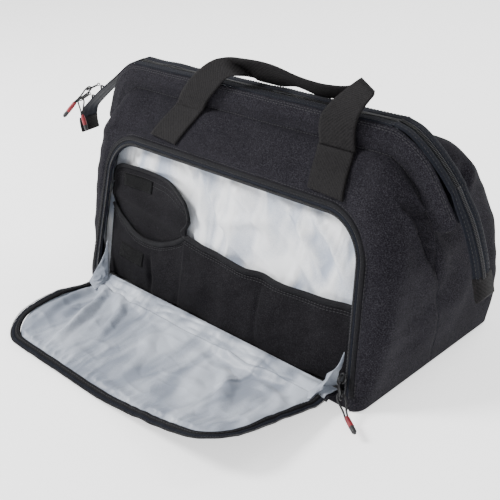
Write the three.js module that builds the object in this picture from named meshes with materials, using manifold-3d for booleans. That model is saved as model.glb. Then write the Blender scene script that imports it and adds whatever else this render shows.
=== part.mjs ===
// Wide-mouth kit holdall, in millimetres, +Z up. The origin is the middle of the base's underside.
// +X runs along the bag, -Y is the front with the open zipped compartment, +Y is the back.
import * as THREE from 'three';
import { mergeVertices } from 'three/addons/utils/BufferGeometryUtils.js';
import Module from 'manifold-3d';

const wasm = await Module();
wasm.setup();

// Driving dimensions: the body.
const GAP = 0.4;                  // clearance between pieces that touch
const SEAM = 1;                   // clearance along a curved seam
const CANVAS = 2.4;               // thickness of a canvas wall with its foam
const YOKE = 1.7;                 // thickness of the soft canvas between a panel and its frame
const LINING = 1.0;               // thickness of a lining
const BASE_HALF_LENGTH = 235;
const BASE_HALF_DEPTH = 116;
const LEAN = 0.29;                // how far the front leans in, per millimetre of height
const BACK_BELLY = 8;             // how far the back bulges at mid height
const BACK_SHOULDER = 30;         // how far the back's top curves in
const SHOULDER_LOW = 125;         // height at which the back starts to curve in
const SHOULDER_RUN = 95;
const BACK_CROWN = 11;            // how far the canvas between the back and its frame bulges
const BELLY = 13;                 // how far the ends bulge at mid height
const WALL_BOTTOM = 2.9;
const FRONT_TOP = 196;            // top edge of the front and back panels
const END_TOP = 172;              // top edge of the ends, at the middle
const LOW_CORNER = 13;            // corner radius at the base
const HIGH_CORNER = 30;           // corner radius at the top

// Driving dimensions: the front compartment.
const HINGE_Z = 15;               // where the flap joins the front panel
const OPENING_LOW_HALF = 214;
const OPENING_HIGH_HALF = 200;
const OPENING_TOP = 184;
const OPENING_CORNER = 46;
const TAPE_WIDTH = 8;
const COIL = 2.6;                 // width of one half of a zip's coil
const RECESS = 17;                // depth of the front compartment
const POCKET_FOOT = 12;
const FLOOR_FRONT = 25;           // the floor lining stops this far behind the base's front edge
const FLOOR_CORNER = 18;

// Driving dimensions: the flap that lies open.
const FLAP_REACH = 159;
const FLAP_HALF = 208;
const FLAP_FAR_HALF = 200;
const FLAP_CORNER = 47;
const FLAP_FLOOR = 0.5;

// Driving dimensions: the mouth frames, the top zip and the handles.
const FRAME_Y = 13;               // the frames lie this far in front of and behind the middle
const FRAME_TIP_X = 268;
const FRAME_TIP_Z = 174;
const RIDGE_Z = 252;              // middle of the frame casing along the top
const CASING_HALF = 16;
const ROD_RADIUS = 2;
const TUBE_SIDES = 8;
const PLY = 1.6;                  // thickness of one side of a frame's casing
const CASING_OUT = ROD_RADIUS + GAP + PLY + GAP;
const WEBBING_HALF = 24;
const WEBBING = 3;
const HANDLE_Z = 238;
const TAIL_HALF = 15;

const canvas = new THREE.MeshStandardMaterial({ color: 0x2c2b30, roughness: 0.9, metalness: 0 });
const webbing = new THREE.MeshStandardMaterial({ color: 0x2a2628, roughness: 0.85, metalness: 0 });
const zipTape = new THREE.MeshStandardMaterial({ color: 0x202227, roughness: 0.8, metalness: 0 });
const satin = new THREE.MeshStandardMaterial({ color: 0xc9ccd2, roughness: 0.45, metalness: 0 });
const coil = new THREE.MeshStandardMaterial({ color: 0x17181b, roughness: 0.4, metalness: 0 });
const board = new THREE.MeshStandardMaterial({ color: 0x3a3a3c, roughness: 0.7, metalness: 0 });
const steel = new THREE.MeshStandardMaterial({ color: 0x9a9da0, roughness: 0.35, metalness: 1 });
const darkMetal = new THREE.MeshStandardMaterial({ color: 0x2b2c2f, roughness: 0.4, metalness: 0.9 });
const velcro = new THREE.MeshStandardMaterial({ color: 0x1d1d20, roughness: 1, metalness: 0 });
const cordBlack = new THREE.MeshStandardMaterial({ color: 0x1b1b1e, roughness: 0.8, metalness: 0 });
const gripRed = new THREE.MeshStandardMaterial({ color: 0xa8323c, roughness: 0.6, metalness: 0 });

const bag = new THREE.Group();

function vec(x, y, z) {
  return new THREE.Vector3(x, y, z);
}

function clamp01(t) {
  return Math.min(1, Math.max(0, t));
}

function smooth(t) {
  const c = clamp01(t);
  return c * c * (3 - 2 * c);
}

function mix(a, b, t) {
  return a + (b - a) * t;
}

function add(name, geometry, material) {
  const mesh = new THREE.Mesh(geometry, material);
  mesh.name = name;
  bag.add(mesh);
  return mesh;
}

// A closed body from points and triangles, turned so that its faces point out.
function body(points, triangles) {
  const volume = triangles.reduce((sum, [a, b, c]) => {
    return sum + points[a].dot(vec(0, 0, 0).crossVectors(points[b], points[c]));
  }, 0);
  const faces = volume < 0 ? triangles.map(([a, b, c]) => [a, c, b]) : triangles;
  const geometry = new THREE.BufferGeometry();
  geometry.setAttribute('position', new THREE.Float32BufferAttribute(points.flatMap((p) => p.toArray()), 3));
  geometry.setIndex(faces.flat());
  geometry.computeVertexNormals();
  return geometry;
}

function quad(a, b, c, d) {
  return [[a, b, c], [a, c, d]];
}

// A sheet of cloth or board: two grids of points, front(u, v) and back(u, v), closed along their edges.
function slab(front, back, columns, rows) {
  const points = [];
  for (const side of [front, back]) {
    for (let i = 0; i <= columns; i += 1) {
      for (let j = 0; j <= rows; j += 1) {
        points.push(side(i / columns, j / rows));
      }
    }
  }
  const layer = (columns + 1) * (rows + 1);
  const at = (side, i, j) => side * layer + i * (rows + 1) + j;
  const triangles = [];
  for (let i = 0; i < columns; i += 1) {
    for (let j = 0; j < rows; j += 1) {
      triangles.push(...quad(at(0, i, j), at(0, i + 1, j), at(0, i + 1, j + 1), at(0, i, j + 1)));
      triangles.push(...quad(at(1, i, j), at(1, i, j + 1), at(1, i + 1, j + 1), at(1, i + 1, j)));
    }
    triangles.push(...quad(at(0, i, 0), at(1, i, 0), at(1, i + 1, 0), at(0, i + 1, 0)));
    triangles.push(...quad(at(0, i, rows), at(0, i + 1, rows), at(1, i + 1, rows), at(1, i, rows)));
  }
  for (let j = 0; j < rows; j += 1) {
    triangles.push(...quad(at(0, 0, j), at(0, 0, j + 1), at(1, 0, j + 1), at(1, 0, j)));
    triangles.push(...quad(at(0, columns, j), at(1, columns, j), at(1, columns, j + 1), at(0, columns, j + 1)));
  }
  return body(points, triangles);
}

// A sheet whose back is its front moved by one direction.
function sheet(front, shift, columns, rows) {
  return slab(front, (u, v) => front(u, v).add(shift), columns, rows);
}

// A flat shape in the XZ plane, given a thickness towards +Y from y, as an extrusion.
function plate(outline, y, thickness, holes = []) {
  const shape = new THREE.Shape(outline);
  holes.forEach((hole) => shape.holes.push(new THREE.Path(hole)));
  const geometry = new THREE.ExtrudeGeometry(shape, { depth: thickness, bevelEnabled: false, steps: 1 });
  geometry.rotateX(Math.PI / 2);
  geometry.translate(0, y + thickness, 0);
  return geometry;
}

// Moves each point along Y by a rule of its height, which leans a flat piece.
function leaned(geometry, rule) {
  const p = geometry.attributes.position;
  for (let i = 0; i < p.count; i += 1) {
    p.setY(i, p.getY(i) + rule(p.getZ(i)));
  }
  geometry.computeVertexNormals();
  return geometry;
}

function tube(points, radius, steps) {
  const section = new THREE.Shape();
  section.absarc(0, 0, radius, 0, Math.PI * 2, false);
  const path = new THREE.CatmullRomCurve3(points);
  const settings = { extrudePath: path, steps, curveSegments: TUBE_SIDES / 2, bevelEnabled: false };
  return new THREE.ExtrudeGeometry(section, settings);
}

// A band of one width along a line in a plane: the line's points with both edges, as an outline.
function bandOutline(line, half) {
  const near = [];
  const far = [];
  line.forEach((p, i) => {
    const before = line[Math.max(0, i - 1)];
    const after = line[Math.min(line.length - 1, i + 1)];
    const along = new THREE.Vector2().subVectors(after, before).normalize();
    near.push(new THREE.Vector2(p.x - along.y * half, p.y + along.x * half));
    far.push(new THREE.Vector2(p.x + along.y * half, p.y - along.x * half));
  });
  return [...near, ...far.reverse()];
}

function solidOf(geometry) {
  const bare = geometry.clone();
  bare.deleteAttribute('normal');
  bare.deleteAttribute('uv');
  const merged = mergeVertices(bare, 1e-4);
  const vertProperties = new Float32Array(merged.attributes.position.array);
  const triVerts = new Uint32Array(merged.index.array);
  return new wasm.Manifold(new wasm.Mesh({ numProp: 3, vertProperties, triVerts }));
}

function geometryOf(solid) {
  const mesh = solid.getMesh();
  const geometry = new THREE.BufferGeometry();
  geometry.setAttribute('position', new THREE.Float32BufferAttribute(mesh.vertProperties, 3));
  geometry.setIndex(Array.from(mesh.triVerts));
  geometry.computeVertexNormals();
  return geometry;
}

// --- The body's outer form ---

function halfDepth(z) {
  return BASE_HALF_DEPTH - LEAN * z;
}

function backDepth(z) {
  const belly = BACK_BELLY * Math.sin(Math.PI * clamp01(z / 214));
  return BASE_HALF_DEPTH - 2 + belly - BACK_SHOULDER * smooth((z - SHOULDER_LOW) / SHOULDER_RUN);
}

function halfLength(z) {
  return BASE_HALF_LENGTH + BELLY * Math.sin(Math.PI * clamp01(z / 210));
}

function cornerRadius(z) {
  return mix(LOW_CORNER, HIGH_CORNER, smooth(z / END_TOP));
}

function flatHalf(z) {
  return halfLength(z) - cornerRadius(z);
}

// A point on the right end wall, from the front seam (w = -1) past the middle (0) to the back seam (1).
function endPoint(w, z, inset) {
  const radius = cornerRadius(z);
  const straight = (w < 0 ? halfDepth(z) : backDepth(z)) - radius;
  const arc = Math.PI / 2 * radius;
  const along = Math.abs(w) * (straight + arc);
  const side = Math.sign(w);
  if (along <= straight) {
    return vec(halfLength(z) - inset, side * along, z);
  }
  const turn = (along - straight) / radius;
  const x = halfLength(z) - radius + (radius - inset) * Math.cos(turn);
  return vec(x, side * (straight + (radius - inset) * Math.sin(turn)), z);
}

function endTop(w) {
  return mix(END_TOP, FRONT_TOP, w * w);
}

function onFront(z) {
  return -halfDepth(z);
}


// --- Base ---

// A flat plate inside the base's edge; front is how far it stops behind the base's front edge.
function basePlate(inset, z, thickness, front, r) {
  const shape = new THREE.Shape();
  const x = BASE_HALF_LENGTH - inset;
  const y = BASE_HALF_DEPTH - inset;
  const near = BASE_HALF_DEPTH - front;
  shape.absarc(x - r, y - r, r, 0, Math.PI / 2);
  shape.absarc(-x + r, y - r, r, Math.PI / 2, Math.PI);
  shape.absarc(-x + r, -near + r, r, Math.PI, Math.PI * 1.5);
  shape.absarc(x - r, -near + r, r, Math.PI * 1.5, Math.PI * 2);
  const settings = { depth: thickness, bevelEnabled: false, curveSegments: 4 };
  const geometry = new THREE.ExtrudeGeometry(shape, settings);
  geometry.translate(0, 0, z);
  return geometry;
}

add('base_fabric', basePlate(0, 0, 2.5, 0, LOW_CORNER), canvas);
add('base_board', basePlate(6, WALL_BOTTOM, 4, 6, LOW_CORNER - 6), board);
add('floor_lining', basePlate(7, WALL_BOTTOM + 4 + GAP, LINING, FLOOR_FRONT, FLOOR_CORNER), satin);

// --- Front and back panels, ends ---

function panelOutline(low, high, trim) {
  const right = [];
  const steps = 10;
  for (let i = 0; i <= steps; i += 1) {
    const z = mix(low, high, i / steps);
    right.push(new THREE.Vector2(flatHalf(z) - trim, z));
  }
  const left = right.map((p) => new THREE.Vector2(-p.x, p.y)).reverse();
  return [...right, ...left];
}

function openingHalf(z) {
  return mix(OPENING_LOW_HALF, OPENING_HIGH_HALF, (z - HINGE_Z) / (OPENING_TOP - HINGE_Z));
}

// The opening's edge from its lower right end over the top to its lower left end, grown by an offset.
function archLine(offset, low = HINGE_Z) {
  const right = [];
  const cornerZ = OPENING_TOP - OPENING_CORNER;
  for (let i = 0; i <= 4; i += 1) {
    const z = mix(low, cornerZ, i / 4);
    right.push(new THREE.Vector2(openingHalf(z) + offset, z));
  }
  const centreX = openingHalf(cornerZ) - OPENING_CORNER;
  const radius = OPENING_CORNER + offset;
  for (let i = 1; i <= 6; i += 1) {
    const turn = (Math.PI / 2) * (i / 6);
    right.push(new THREE.Vector2(centreX + radius * Math.cos(turn), cornerZ + radius * Math.sin(turn)));
  }
  const left = right.map((p) => new THREE.Vector2(-p.x, p.y)).reverse();
  return [...right, ...left];
}

const frontWall = plate(panelOutline(WALL_BOTTOM, FRONT_TOP, SEAM), 0, CANVAS, [archLine(0)]);
add('front_panel', leaned(frontWall, onFront), canvas);
const backAt = (inset) => (u, v) => {
  const z = mix(WALL_BOTTOM, FRONT_TOP, v);
  return vec(mix(-1, 1, u) * (flatHalf(z) - SEAM), backDepth(z) - inset, z);
};
add('rear_panel', slab(backAt(0), backAt(CANVAS), 8, 14), canvas);

function endWall(sign, outer, inner, low) {
  const at = (inset) => (u, v) => {
    const w = mix(-1, 1, u);
    const p = endPoint(w, mix(low, endTop(w), v), inset);
    return vec(sign * p.x, p.y, p.z);
  };
  return slab(at(outer), at(inner), 16, 14);
}

add('left_end_panel', endWall(-1, 0, CANVAS, WALL_BOTTOM), canvas);
add('right_end_panel', endWall(1, 0, CANVAS, WALL_BOTTOM), canvas);

// The lining of the main compartment: one sheet round the left end, the back and the right end.
function liningPoint(u, z, inset) {
  const turnShare = 0.22;
  if (u < turnShare) {
    const p = endPoint(mix(-0.72, 1, u / turnShare), z, inset);
    return vec(-p.x, p.y, p.z);
  }
  if (u > 1 - turnShare) {
    return endPoint(mix(1, -0.72, (u - 1 + turnShare) / turnShare), z, inset);
  }
  const x = mix(-1, 1, (u - turnShare) / (1 - 2 * turnShare)) * flatHalf(z);
  return vec(x, backDepth(z) - inset, z);
}

const LINING_INSET = CANVAS * 2;
const liningLow = WALL_BOTTOM + 6 + GAP;
const liningAt = (inset) => (u, v) => liningPoint(u, mix(liningLow, END_TOP - 2, v), inset);
add('main_lining', slab(liningAt(LINING_INSET), liningAt(LINING_INSET + LINING), 40, 10), satin);

// --- The mouth: casings, rods, yokes ---

// The frame's line in the XZ plane, from the left tip over the ridge to the right tip.
function frameLine() {
  const bend = [[196, RIDGE_Z], [214, RIDGE_Z - 5], [231, RIDGE_Z - 17], [245, RIDGE_Z - 36]];
  const right = [...bend, [256, 196], [FRAME_TIP_X, FRAME_TIP_Z]];
  const points = right.map(([x, z]) => new THREE.Vector2(x, z));
  const curve = new THREE.SplineCurve(points).getPoints(18);
  const left = curve.map((p) => new THREE.Vector2(-p.x, p.y)).reverse();
  return [...left, ...curve];
}

// The inner edge of the casing, where the yoke is sewn on, for s from -1 (left tip) to 1 (right tip).
const casingEdge = (() => {
  const line = frameLine();
  const edge = bandOutline(line, CASING_HALF + SEAM * 2).slice(line.length).reverse();
  return new THREE.SplineCurve(edge);
})();

function yokeLow(s, side) {
  const span = 0.7;
  if (Math.abs(s) <= span) {
    const z = FRONT_TOP + YOKE + GAP;
    return vec(s / span * flatHalf(z), side < 0 ? halfDepth(z) : backDepth(z), z);
  }
  const w = side * (1 - (Math.abs(s) - span) / (1 - span) * 0.94);
  const p = endPoint(w, endTop(w) + YOKE + SEAM, 0);
  return vec(Math.sign(s) * p.x, Math.abs(p.y), p.z);
}

function yokeHigh(s) {
  const p = casingEdge.getPointAt(clamp01((s + 1) / 2));
  return vec(p.x, FRAME_Y + CASING_OUT + YOKE, p.y);
}

function yoke(side, name, crown) {
  const at = (inset) => (u, v) => {
    const s = mix(-1, 1, u);
    const p = yokeLow(s, side).lerp(yokeHigh(s), v);
    const bulge = crown * Math.sin(Math.PI * v) * (1 - s ** 4);
    return vec(p.x, side * (p.y - inset + bulge), p.z - inset + bulge * 0.6);
  };
  add(name, slab(at(0), at(YOKE), 60, 6), canvas);
}

function frame(side, prefix) {
  const line = frameLine();
  const outline = bandOutline(line, CASING_HALF);
  const outerY = side * (FRAME_Y + ROD_RADIUS + GAP);
  const innerY = side * (FRAME_Y - ROD_RADIUS - GAP);
  const plateAt = (y, towards) => plate(outline, Math.min(y, y + towards * PLY), PLY);
  add(`${prefix}_casing`, plateAt(outerY, side), canvas);
  add(`${prefix}_casing_facing`, plateAt(innerY, -side), satin);
  const path = line.map((p) => vec(p.x, side * FRAME_Y, p.y));
  add(`${prefix}_frame_rod`, tube(path, ROD_RADIUS, 44), steel);
}

frame(-1, 'front');
frame(1, 'rear');
yoke(-1, 'front_yoke', 1);
yoke(1, 'rear_yoke', BACK_CROWN);

// --- The top zip: two tapes and two coils on the frames, then extensions and tails beyond them ---

const ZIP_Z = RIDGE_Z + CASING_HALF + GAP;
const ZIP_HALF_RUN = 202;

function block(x0, x1, y0, y1, z0, z1) {
  const geometry = new THREE.BoxGeometry(x1 - x0, y1 - y0, z1 - z0);
  geometry.translate((x0 + x1) / 2, (y0 + y1) / 2, (z0 + z1) / 2);
  return geometry;
}

for (const [prefix, side] of [['front', -1], ['rear', 1]]) {
  const span = (near, far) => [Math.min(side * near, side * far), Math.max(side * near, side * far)];
  const tape = span(COIL + GAP, FRAME_Y + 3);
  const teeth = span(GAP / 2, COIL);
  const run = ZIP_HALF_RUN;
  add(`${prefix}_zip_tape`, block(-run, run, ...tape, ZIP_Z, ZIP_Z + 1.2), zipTape);
  add(`${prefix}_zip_teeth`, block(-run, run, ...teeth, ZIP_Z, ZIP_Z + 1.8), coil);
}

// A band whose width lies along Y, following points in the XZ plane, thick towards its upper side.
function ribbon(points, half, thickness, steps) {
  const line = new THREE.SplineCurve(points.map(([x, z]) => new THREE.Vector2(x, z))).getPoints(steps);
  const outline = bandOutline(line, thickness / 2);
  return plate(outline, -half, half * 2);
}

const LEFT_TAIL_START = [-268, 233];
const leftSlope = [[-206, 272], [-222, 262.5], [-244, 248.5], [-267, 234]];
const leftTail = [LEFT_TAIL_START, [-300, 212], [-326, 194], [-344, 180], [-353, 166]];
const rightSlope = [[206, 272], [222, 263.5], [241, 249], [258, 231], [268.6, 217]];
const rightTail = [[270, 215.5], [281, 203], [293, 190], [302, 176], [307, 152], [309, 128]];
const SLOPE_HALF = FRAME_Y - ROD_RADIUS - GAP - 2.4;
add('left_zip_extension', ribbon(leftSlope, SLOPE_HALF, 1.8, 8), zipTape);
add('right_zip_extension', ribbon(rightSlope, SLOPE_HALF, 1.8, 8), zipTape);
add('left_zip_tail', ribbon(leftTail, TAIL_HALF, 2, 12), zipTape);
add('right_zip_tail', ribbon(rightTail, TAIL_HALF, 2, 14), zipTape);
add('left_end_tab', ribbon([[-353.4, 165], [-354, 158], [-353, 148]], TAIL_HALF, 3.4, 3), webbing);
add('right_end_tab', ribbon([[309.1, 127], [309.5, 114], [308.5, 102]], TAIL_HALF, 3.4, 3), webbing);

// --- The front compartment ---

const divider = panelOutline(WALL_BOTTOM + 6, FRONT_TOP - 2, -6);
const dividerWall = plate(divider, RECESS, LINING * 1.4);
add('compartment_back', leaned(dividerWall, onFront), satin);

const tapeOutline = (inner, outer) => [...archLine(outer), ...archLine(inner).reverse()];
const openingTape = plate(tapeOutline(COIL + GAP, COIL + GAP + TAPE_WIDTH), -1.2 - GAP, 1.2);
add('opening_zip_tape', leaned(openingTape, onFront), zipTape);
const openingTeeth = plate(tapeOutline(0, COIL), -1.8 - GAP, 1.8);
add('opening_zip_teeth', leaned(openingTeeth, onFront), coil);

// A pocket front: a sheet between two x positions with its own top edge, standing off the divider.
function pocketFront(x0, x1, top, standOff, crown) {
  const at = (depth) => (u, v) => {
    const x = mix(x0, x1, u);
    const z = mix(POCKET_FOOT, top(u), v);
    const bulge = crown * Math.sin(Math.PI * u) * Math.sin(Math.PI * Math.min(1, v * 0.8 + 0.12));
    return vec(x, onFront(z) + RECESS - standOff - bulge + depth, z);
  };
  return slab(at(0), at(1.6), 12, 5);
}

const LEFT_POCKET = [-204, -60];
const WIDE_POCKET = [-52, 208];
const leftPocketTop = (u) => 104 - 36 * Math.sin(Math.PI * u) ** 1.1;
const widePocketTop = (u) => 98 - 11 * Math.sin(Math.PI * clamp01(u * 2)) - 3 * Math.sin(Math.PI * u);
add('left_pocket_panel', pocketFront(...LEFT_POCKET, leftPocketTop, 6, 7), canvas);
add('wide_pocket_panel', pocketFront(...WIDE_POCKET, widePocketTop, 7, 3), canvas);

// The binding sewn over a pocket's top edge, just above the panel.
function pocketHem(x0, x1, top, standOff) {
  const at = (depth) => (u, v) => {
    const z = top(u) + GAP + v * 5;
    return vec(mix(x0, x1, u), onFront(z) + RECESS - standOff + depth, z);
  };
  return slab(at(-0.6), at(2.2), 12, 1);
}

add('left_pocket_hem', pocketHem(...LEFT_POCKET, leftPocketTop, 6), webbing);
add('wide_pocket_hem', pocketHem(...WIDE_POCKET, widePocketTop, 7), webbing);

const leaning = (x0, x1, z0, z1, depth, thickness, steps) => {
  const at = (extra) => (u, v) => {
    const z = mix(z0, z1, v);
    return vec(mix(x0, x1, u), onFront(z) + depth + extra, z);
  };
  return slab(at(0), at(thickness), steps, 3);
};
const POCKET_FLAP_Z = 112;
add('pocket_flap', leaning(-200, -56, POCKET_FLAP_Z, 154, 12.6, 1.8, 6), canvas);
add('loop_patch', leaning(-186, -130, 132, 148, 11.2, 1, 2), velcro);
add('hook_patch', leaning(-176, -122, 44, 60, 0.6, 1, 2), velcro);

// --- The flap that lies open in front ---

// Half the flap's width at a distance from its hinge line, with round far corners.
function flapHalf(reach) {
  const straight = mix(FLAP_HALF, FLAP_FAR_HALF, reach / FLAP_REACH);
  const intoCorner = reach - (FLAP_REACH - FLAP_CORNER);
  if (intoCorner <= 0) {
    return straight;
  }
  return straight - FLAP_CORNER + Math.sqrt(Math.max(0, FLAP_CORNER ** 2 - intoCorner ** 2));
}

// The height at which the flap lies: it drops from its hinge line to the ground and curls up at its right.
function flapRise(x, reach) {
  const share = reach / FLAP_REACH;
  const drop = (HINGE_Z - 5 - FLAP_FLOOR) * (1 - smooth(share / 0.2));
  const right = 40 * clamp01(x / FLAP_FAR_HALF) ** 1.6 * mix(0.1, 1, share);
  const left = 15 * clamp01(-x / FLAP_FAR_HALF) ** 6 * Math.sin(Math.PI * clamp01(share * 1.1 - 0.1));
  return FLAP_FLOOR + drop + right + left + 2.5 * share ** 4;
}

function flapPoint(x, reach, lift) {
  return vec(x, onFront(HINGE_Z) - 3.4 - reach, flapRise(x, reach) + lift);
}

function flapLayer(inset, lift, thickness) {
  const at = (extra) => (u, v) => {
    const reach = v * (FLAP_REACH - inset);
    const x = mix(-1, 1, u) * (flapHalf(reach + inset * v) - inset * (v < 1 ? 1 : 0.6));
    return flapPoint(x, reach, lift + extra);
  };
  return slab(at(0), at(thickness), 20, 14);
}

// The flap's edge from its hinge line round the far side and back, as [x, reach] for s from 0 to 1.
const flapEdge = (() => {
  const right = [];
  const rim = FLAP_REACH - FLAP_CORNER;
  for (let i = 0; i <= 5; i += 1) {
    const reach = rim * i / 5;
    right.push(new THREE.Vector2(flapHalf(reach), reach));
  }
  for (let i = 1; i <= 5; i += 1) {
    const turn = (Math.PI / 2) * (i / 5);
    const x = flapHalf(rim) - FLAP_CORNER + FLAP_CORNER * Math.cos(turn);
    right.push(new THREE.Vector2(x, rim + FLAP_CORNER * Math.sin(turn)));
  }
  const left = right.map((p) => new THREE.Vector2(-p.x, p.y)).reverse();
  return [...right, new THREE.Vector2(75, FLAP_REACH), new THREE.Vector2(-75, FLAP_REACH), ...left];
})();

function flapBorder(near, far, lift, thickness) {
  const count = flapEdge.length;
  const ring = (offset) => flapEdge.map((p, i) => {
    const before = flapEdge[Math.max(0, i - 1)];
    const after = flapEdge[Math.min(count - 1, i + 1)];
    const along = new THREE.Vector2().subVectors(after, before).normalize();
    return new THREE.Vector2(p.x - along.y * offset, Math.max(0, p.y + along.x * offset));
  });
  const rings = [ring(near), ring(far)];
  const at = (extra) => (u, v) => {
    const p = rings[Math.round(v)][Math.round(u * (count - 1))];
    return flapPoint(p.x, p.y, lift + extra);
  };
  return slab(at(0), at(thickness), count - 1, 1);
}

add('flap_outer', flapLayer(TAPE_WIDTH + COIL + 1.5, 0, 1.4), canvas);
add('flap_lining', flapLayer(TAPE_WIDTH + COIL + 2.5, 1.4 + GAP, LINING), satin);
add('flap_zip_tape', flapBorder(COIL + GAP, COIL + TAPE_WIDTH, 0.2, 1.4), zipTape);
add('flap_zip_teeth', flapBorder(0, COIL, 0.2, 2), coil);

// The lining gussets between the flap's sides and the foot of the opening: one small fold at each side.
function flapGusset(sign) {
  const corners = [
    [vec(203, onFront(22) + 4, 22), vec(204, onFront(52) + 6, 52)],
    [vec(200, onFront(HINGE_Z) - 8, 18), vec(196, onFront(HINGE_Z) - 12, 26)],
    [vec(196, onFront(HINGE_Z) - 34, 20), vec(193, onFront(HINGE_Z) - 36, 22)],
  ];
  const at = (shift) => (u, v) => {
    const i = Math.min(1, Math.floor(u * 2));
    const t = u * 2 - i;
    const low = corners[i][0].clone().lerp(corners[i + 1][0], t);
    const high = corners[i][1].clone().lerp(corners[i + 1][1], t);
    const p = low.lerp(high, v);
    return vec(sign * (p.x - shift), p.y, p.z);
  };
  return slab(at(0), at(1.2), 6, 2);
}

add('left_flap_gusset', flapGusset(-1), satin);
add('right_flap_gusset', flapGusset(1), satin);

// --- Handles ---

// The front handle's line seen from the front: a round bend up from the left leg, the grip, the right leg.
const LEFT_LEG_X = -71;
const RIGHT_LEG_X = 152;
const GRIP_Z = 288;
const GRIP_BEND = 27;
const SLANT_BEND = 49;

function arc(line, centreX, centreZ, radius, from, to, steps) {
  for (let i = 0; i <= steps; i += 1) {
    const turn = mix(from, to, i / steps);
    line.push(new THREE.Vector2(centreX + radius * Math.cos(turn), centreZ + radius * Math.sin(turn)));
  }
}

function frontHandleLine() {
  const line = [];
  arc(line, LEFT_LEG_X + SLANT_BEND, GRIP_Z - SLANT_BEND, SLANT_BEND, Math.PI, Math.PI / 2, 10);
  arc(line, RIGHT_LEG_X - GRIP_BEND, GRIP_Z - GRIP_BEND, GRIP_BEND, Math.PI / 2, 0, 8);
  line.push(new THREE.Vector2(RIGHT_LEG_X, HANDLE_Z));
  return line;
}

// A strap along a line: rows of points across its width, placed by a rule from the line's plane.
function strap(line, place, thick) {
  const outline = bandOutline(line, WEBBING_HALF);
  const last = line.length - 1;
  const at = (extra) => (u, v) => {
    const i = Math.round(u * last);
    const p = outline[i].clone().lerp(outline[outline.length - 1 - i], v);
    return place(p.x, p.y, extra);
  };
  return slab(at(0), at(thick), last, 6);
}

const HANDLE_Y = FRAME_Y + 9;
const overRidge = (z) => Math.max(0, z - 276) * 0.6;
const frontPlace = (x, z, extra) => vec(x, -HANDLE_Y - extra + overRidge(z), z);
add('front_handle', strap(frontHandleLine(), frontPlace, WEBBING), webbing);

// A handle's sewn root: a flat strap on the yoke, from its stitched foot to the casing.
function handleRoot(footX, topX, side) {
  const foot = side < 0 ? halfDepth(FRONT_TOP) : backDepth(FRONT_TOP);
  const crown = side < 0 ? 2 : BACK_CROWN + 3;
  const at = (lift) => (u, v) => {
    const bulge = crown * Math.sin(Math.PI * v);
    const z = mix(FRONT_TOP + 2, HANDLE_Z - 1, v) + bulge * 0.6;
    const slope = mix(foot + 4, FRAME_Y + 9, v) + bulge;
    return vec(mix(footX, topX, v) + mix(-1, 1, u) * WEBBING_HALF, side * (slope + lift), z);
  };
  return slab(at(0), at(WEBBING), 2, 8);
}

add('front_handle_root_left', handleRoot(-100, -71, -1), webbing);
add('front_handle_root_right', handleRoot(RIGHT_LEG_X, RIGHT_LEG_X, -1), webbing);

// The rear handle has fallen back: it reaches away from the ridge and a little down.
const REAR_LEG_X = 127;
const REAR_REACH = 54;
const REAR_DROP = Math.tan(THREE.MathUtils.degToRad(2));
const REAR_LIFT = 8;

function rearHandleLine() {
  const line = [new THREE.Vector2(-REAR_LEG_X, 0)];
  arc(line, GRIP_BEND - REAR_LEG_X, REAR_REACH - GRIP_BEND, GRIP_BEND, Math.PI, Math.PI / 2, 8);
  arc(line, REAR_LEG_X - GRIP_BEND, REAR_REACH - GRIP_BEND, GRIP_BEND, Math.PI / 2, 0, 8);
  line.push(new THREE.Vector2(REAR_LEG_X, 0));
  return line;
}

const rearPlace = (x, away, extra) => vec(x, HANDLE_Y + 3 + away, HANDLE_Z + REAR_LIFT - away * REAR_DROP + extra);
add('rear_handle', strap(rearHandleLine(), rearPlace, WEBBING), webbing);
add('rear_handle_root_left', handleRoot(-REAR_LEG_X, -REAR_LEG_X, 1), webbing);
add('rear_handle_root_right', handleRoot(REAR_LEG_X, REAR_LEG_X, 1), webbing);

// --- Sliders and their pulls ---

// A slider: a rounded plate over the coil with a lug on top, centred on its zip, turned into place.
function slider(name, place, along, out) {
  const shape = new THREE.Shape();
  shape.moveTo(-7, -3.4);
  shape.quadraticCurveTo(0, -6, 7, -4.6);
  shape.lineTo(7, 4.6);
  shape.quadraticCurveTo(0, 6, -7, 3.4);
  const plateBody = new THREE.ExtrudeGeometry(shape, { depth: 2.4, bevelEnabled: false, curveSegments: 4 });
  const lug = new THREE.BoxGeometry(9, 2.4, 3.4);
  lug.translate(0, 0, 3.6);
  const joined = geometryOf(solidOf(plateBody).add(solidOf(lug)));
  const across = vec(0, 0, 0).crossVectors(out, along);
  const turn = new THREE.Matrix4().makeBasis(along, across, out);
  turn.setPosition(place);
  joined.applyMatrix4(turn);
  add(name, joined, darkMetal);
}

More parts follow.
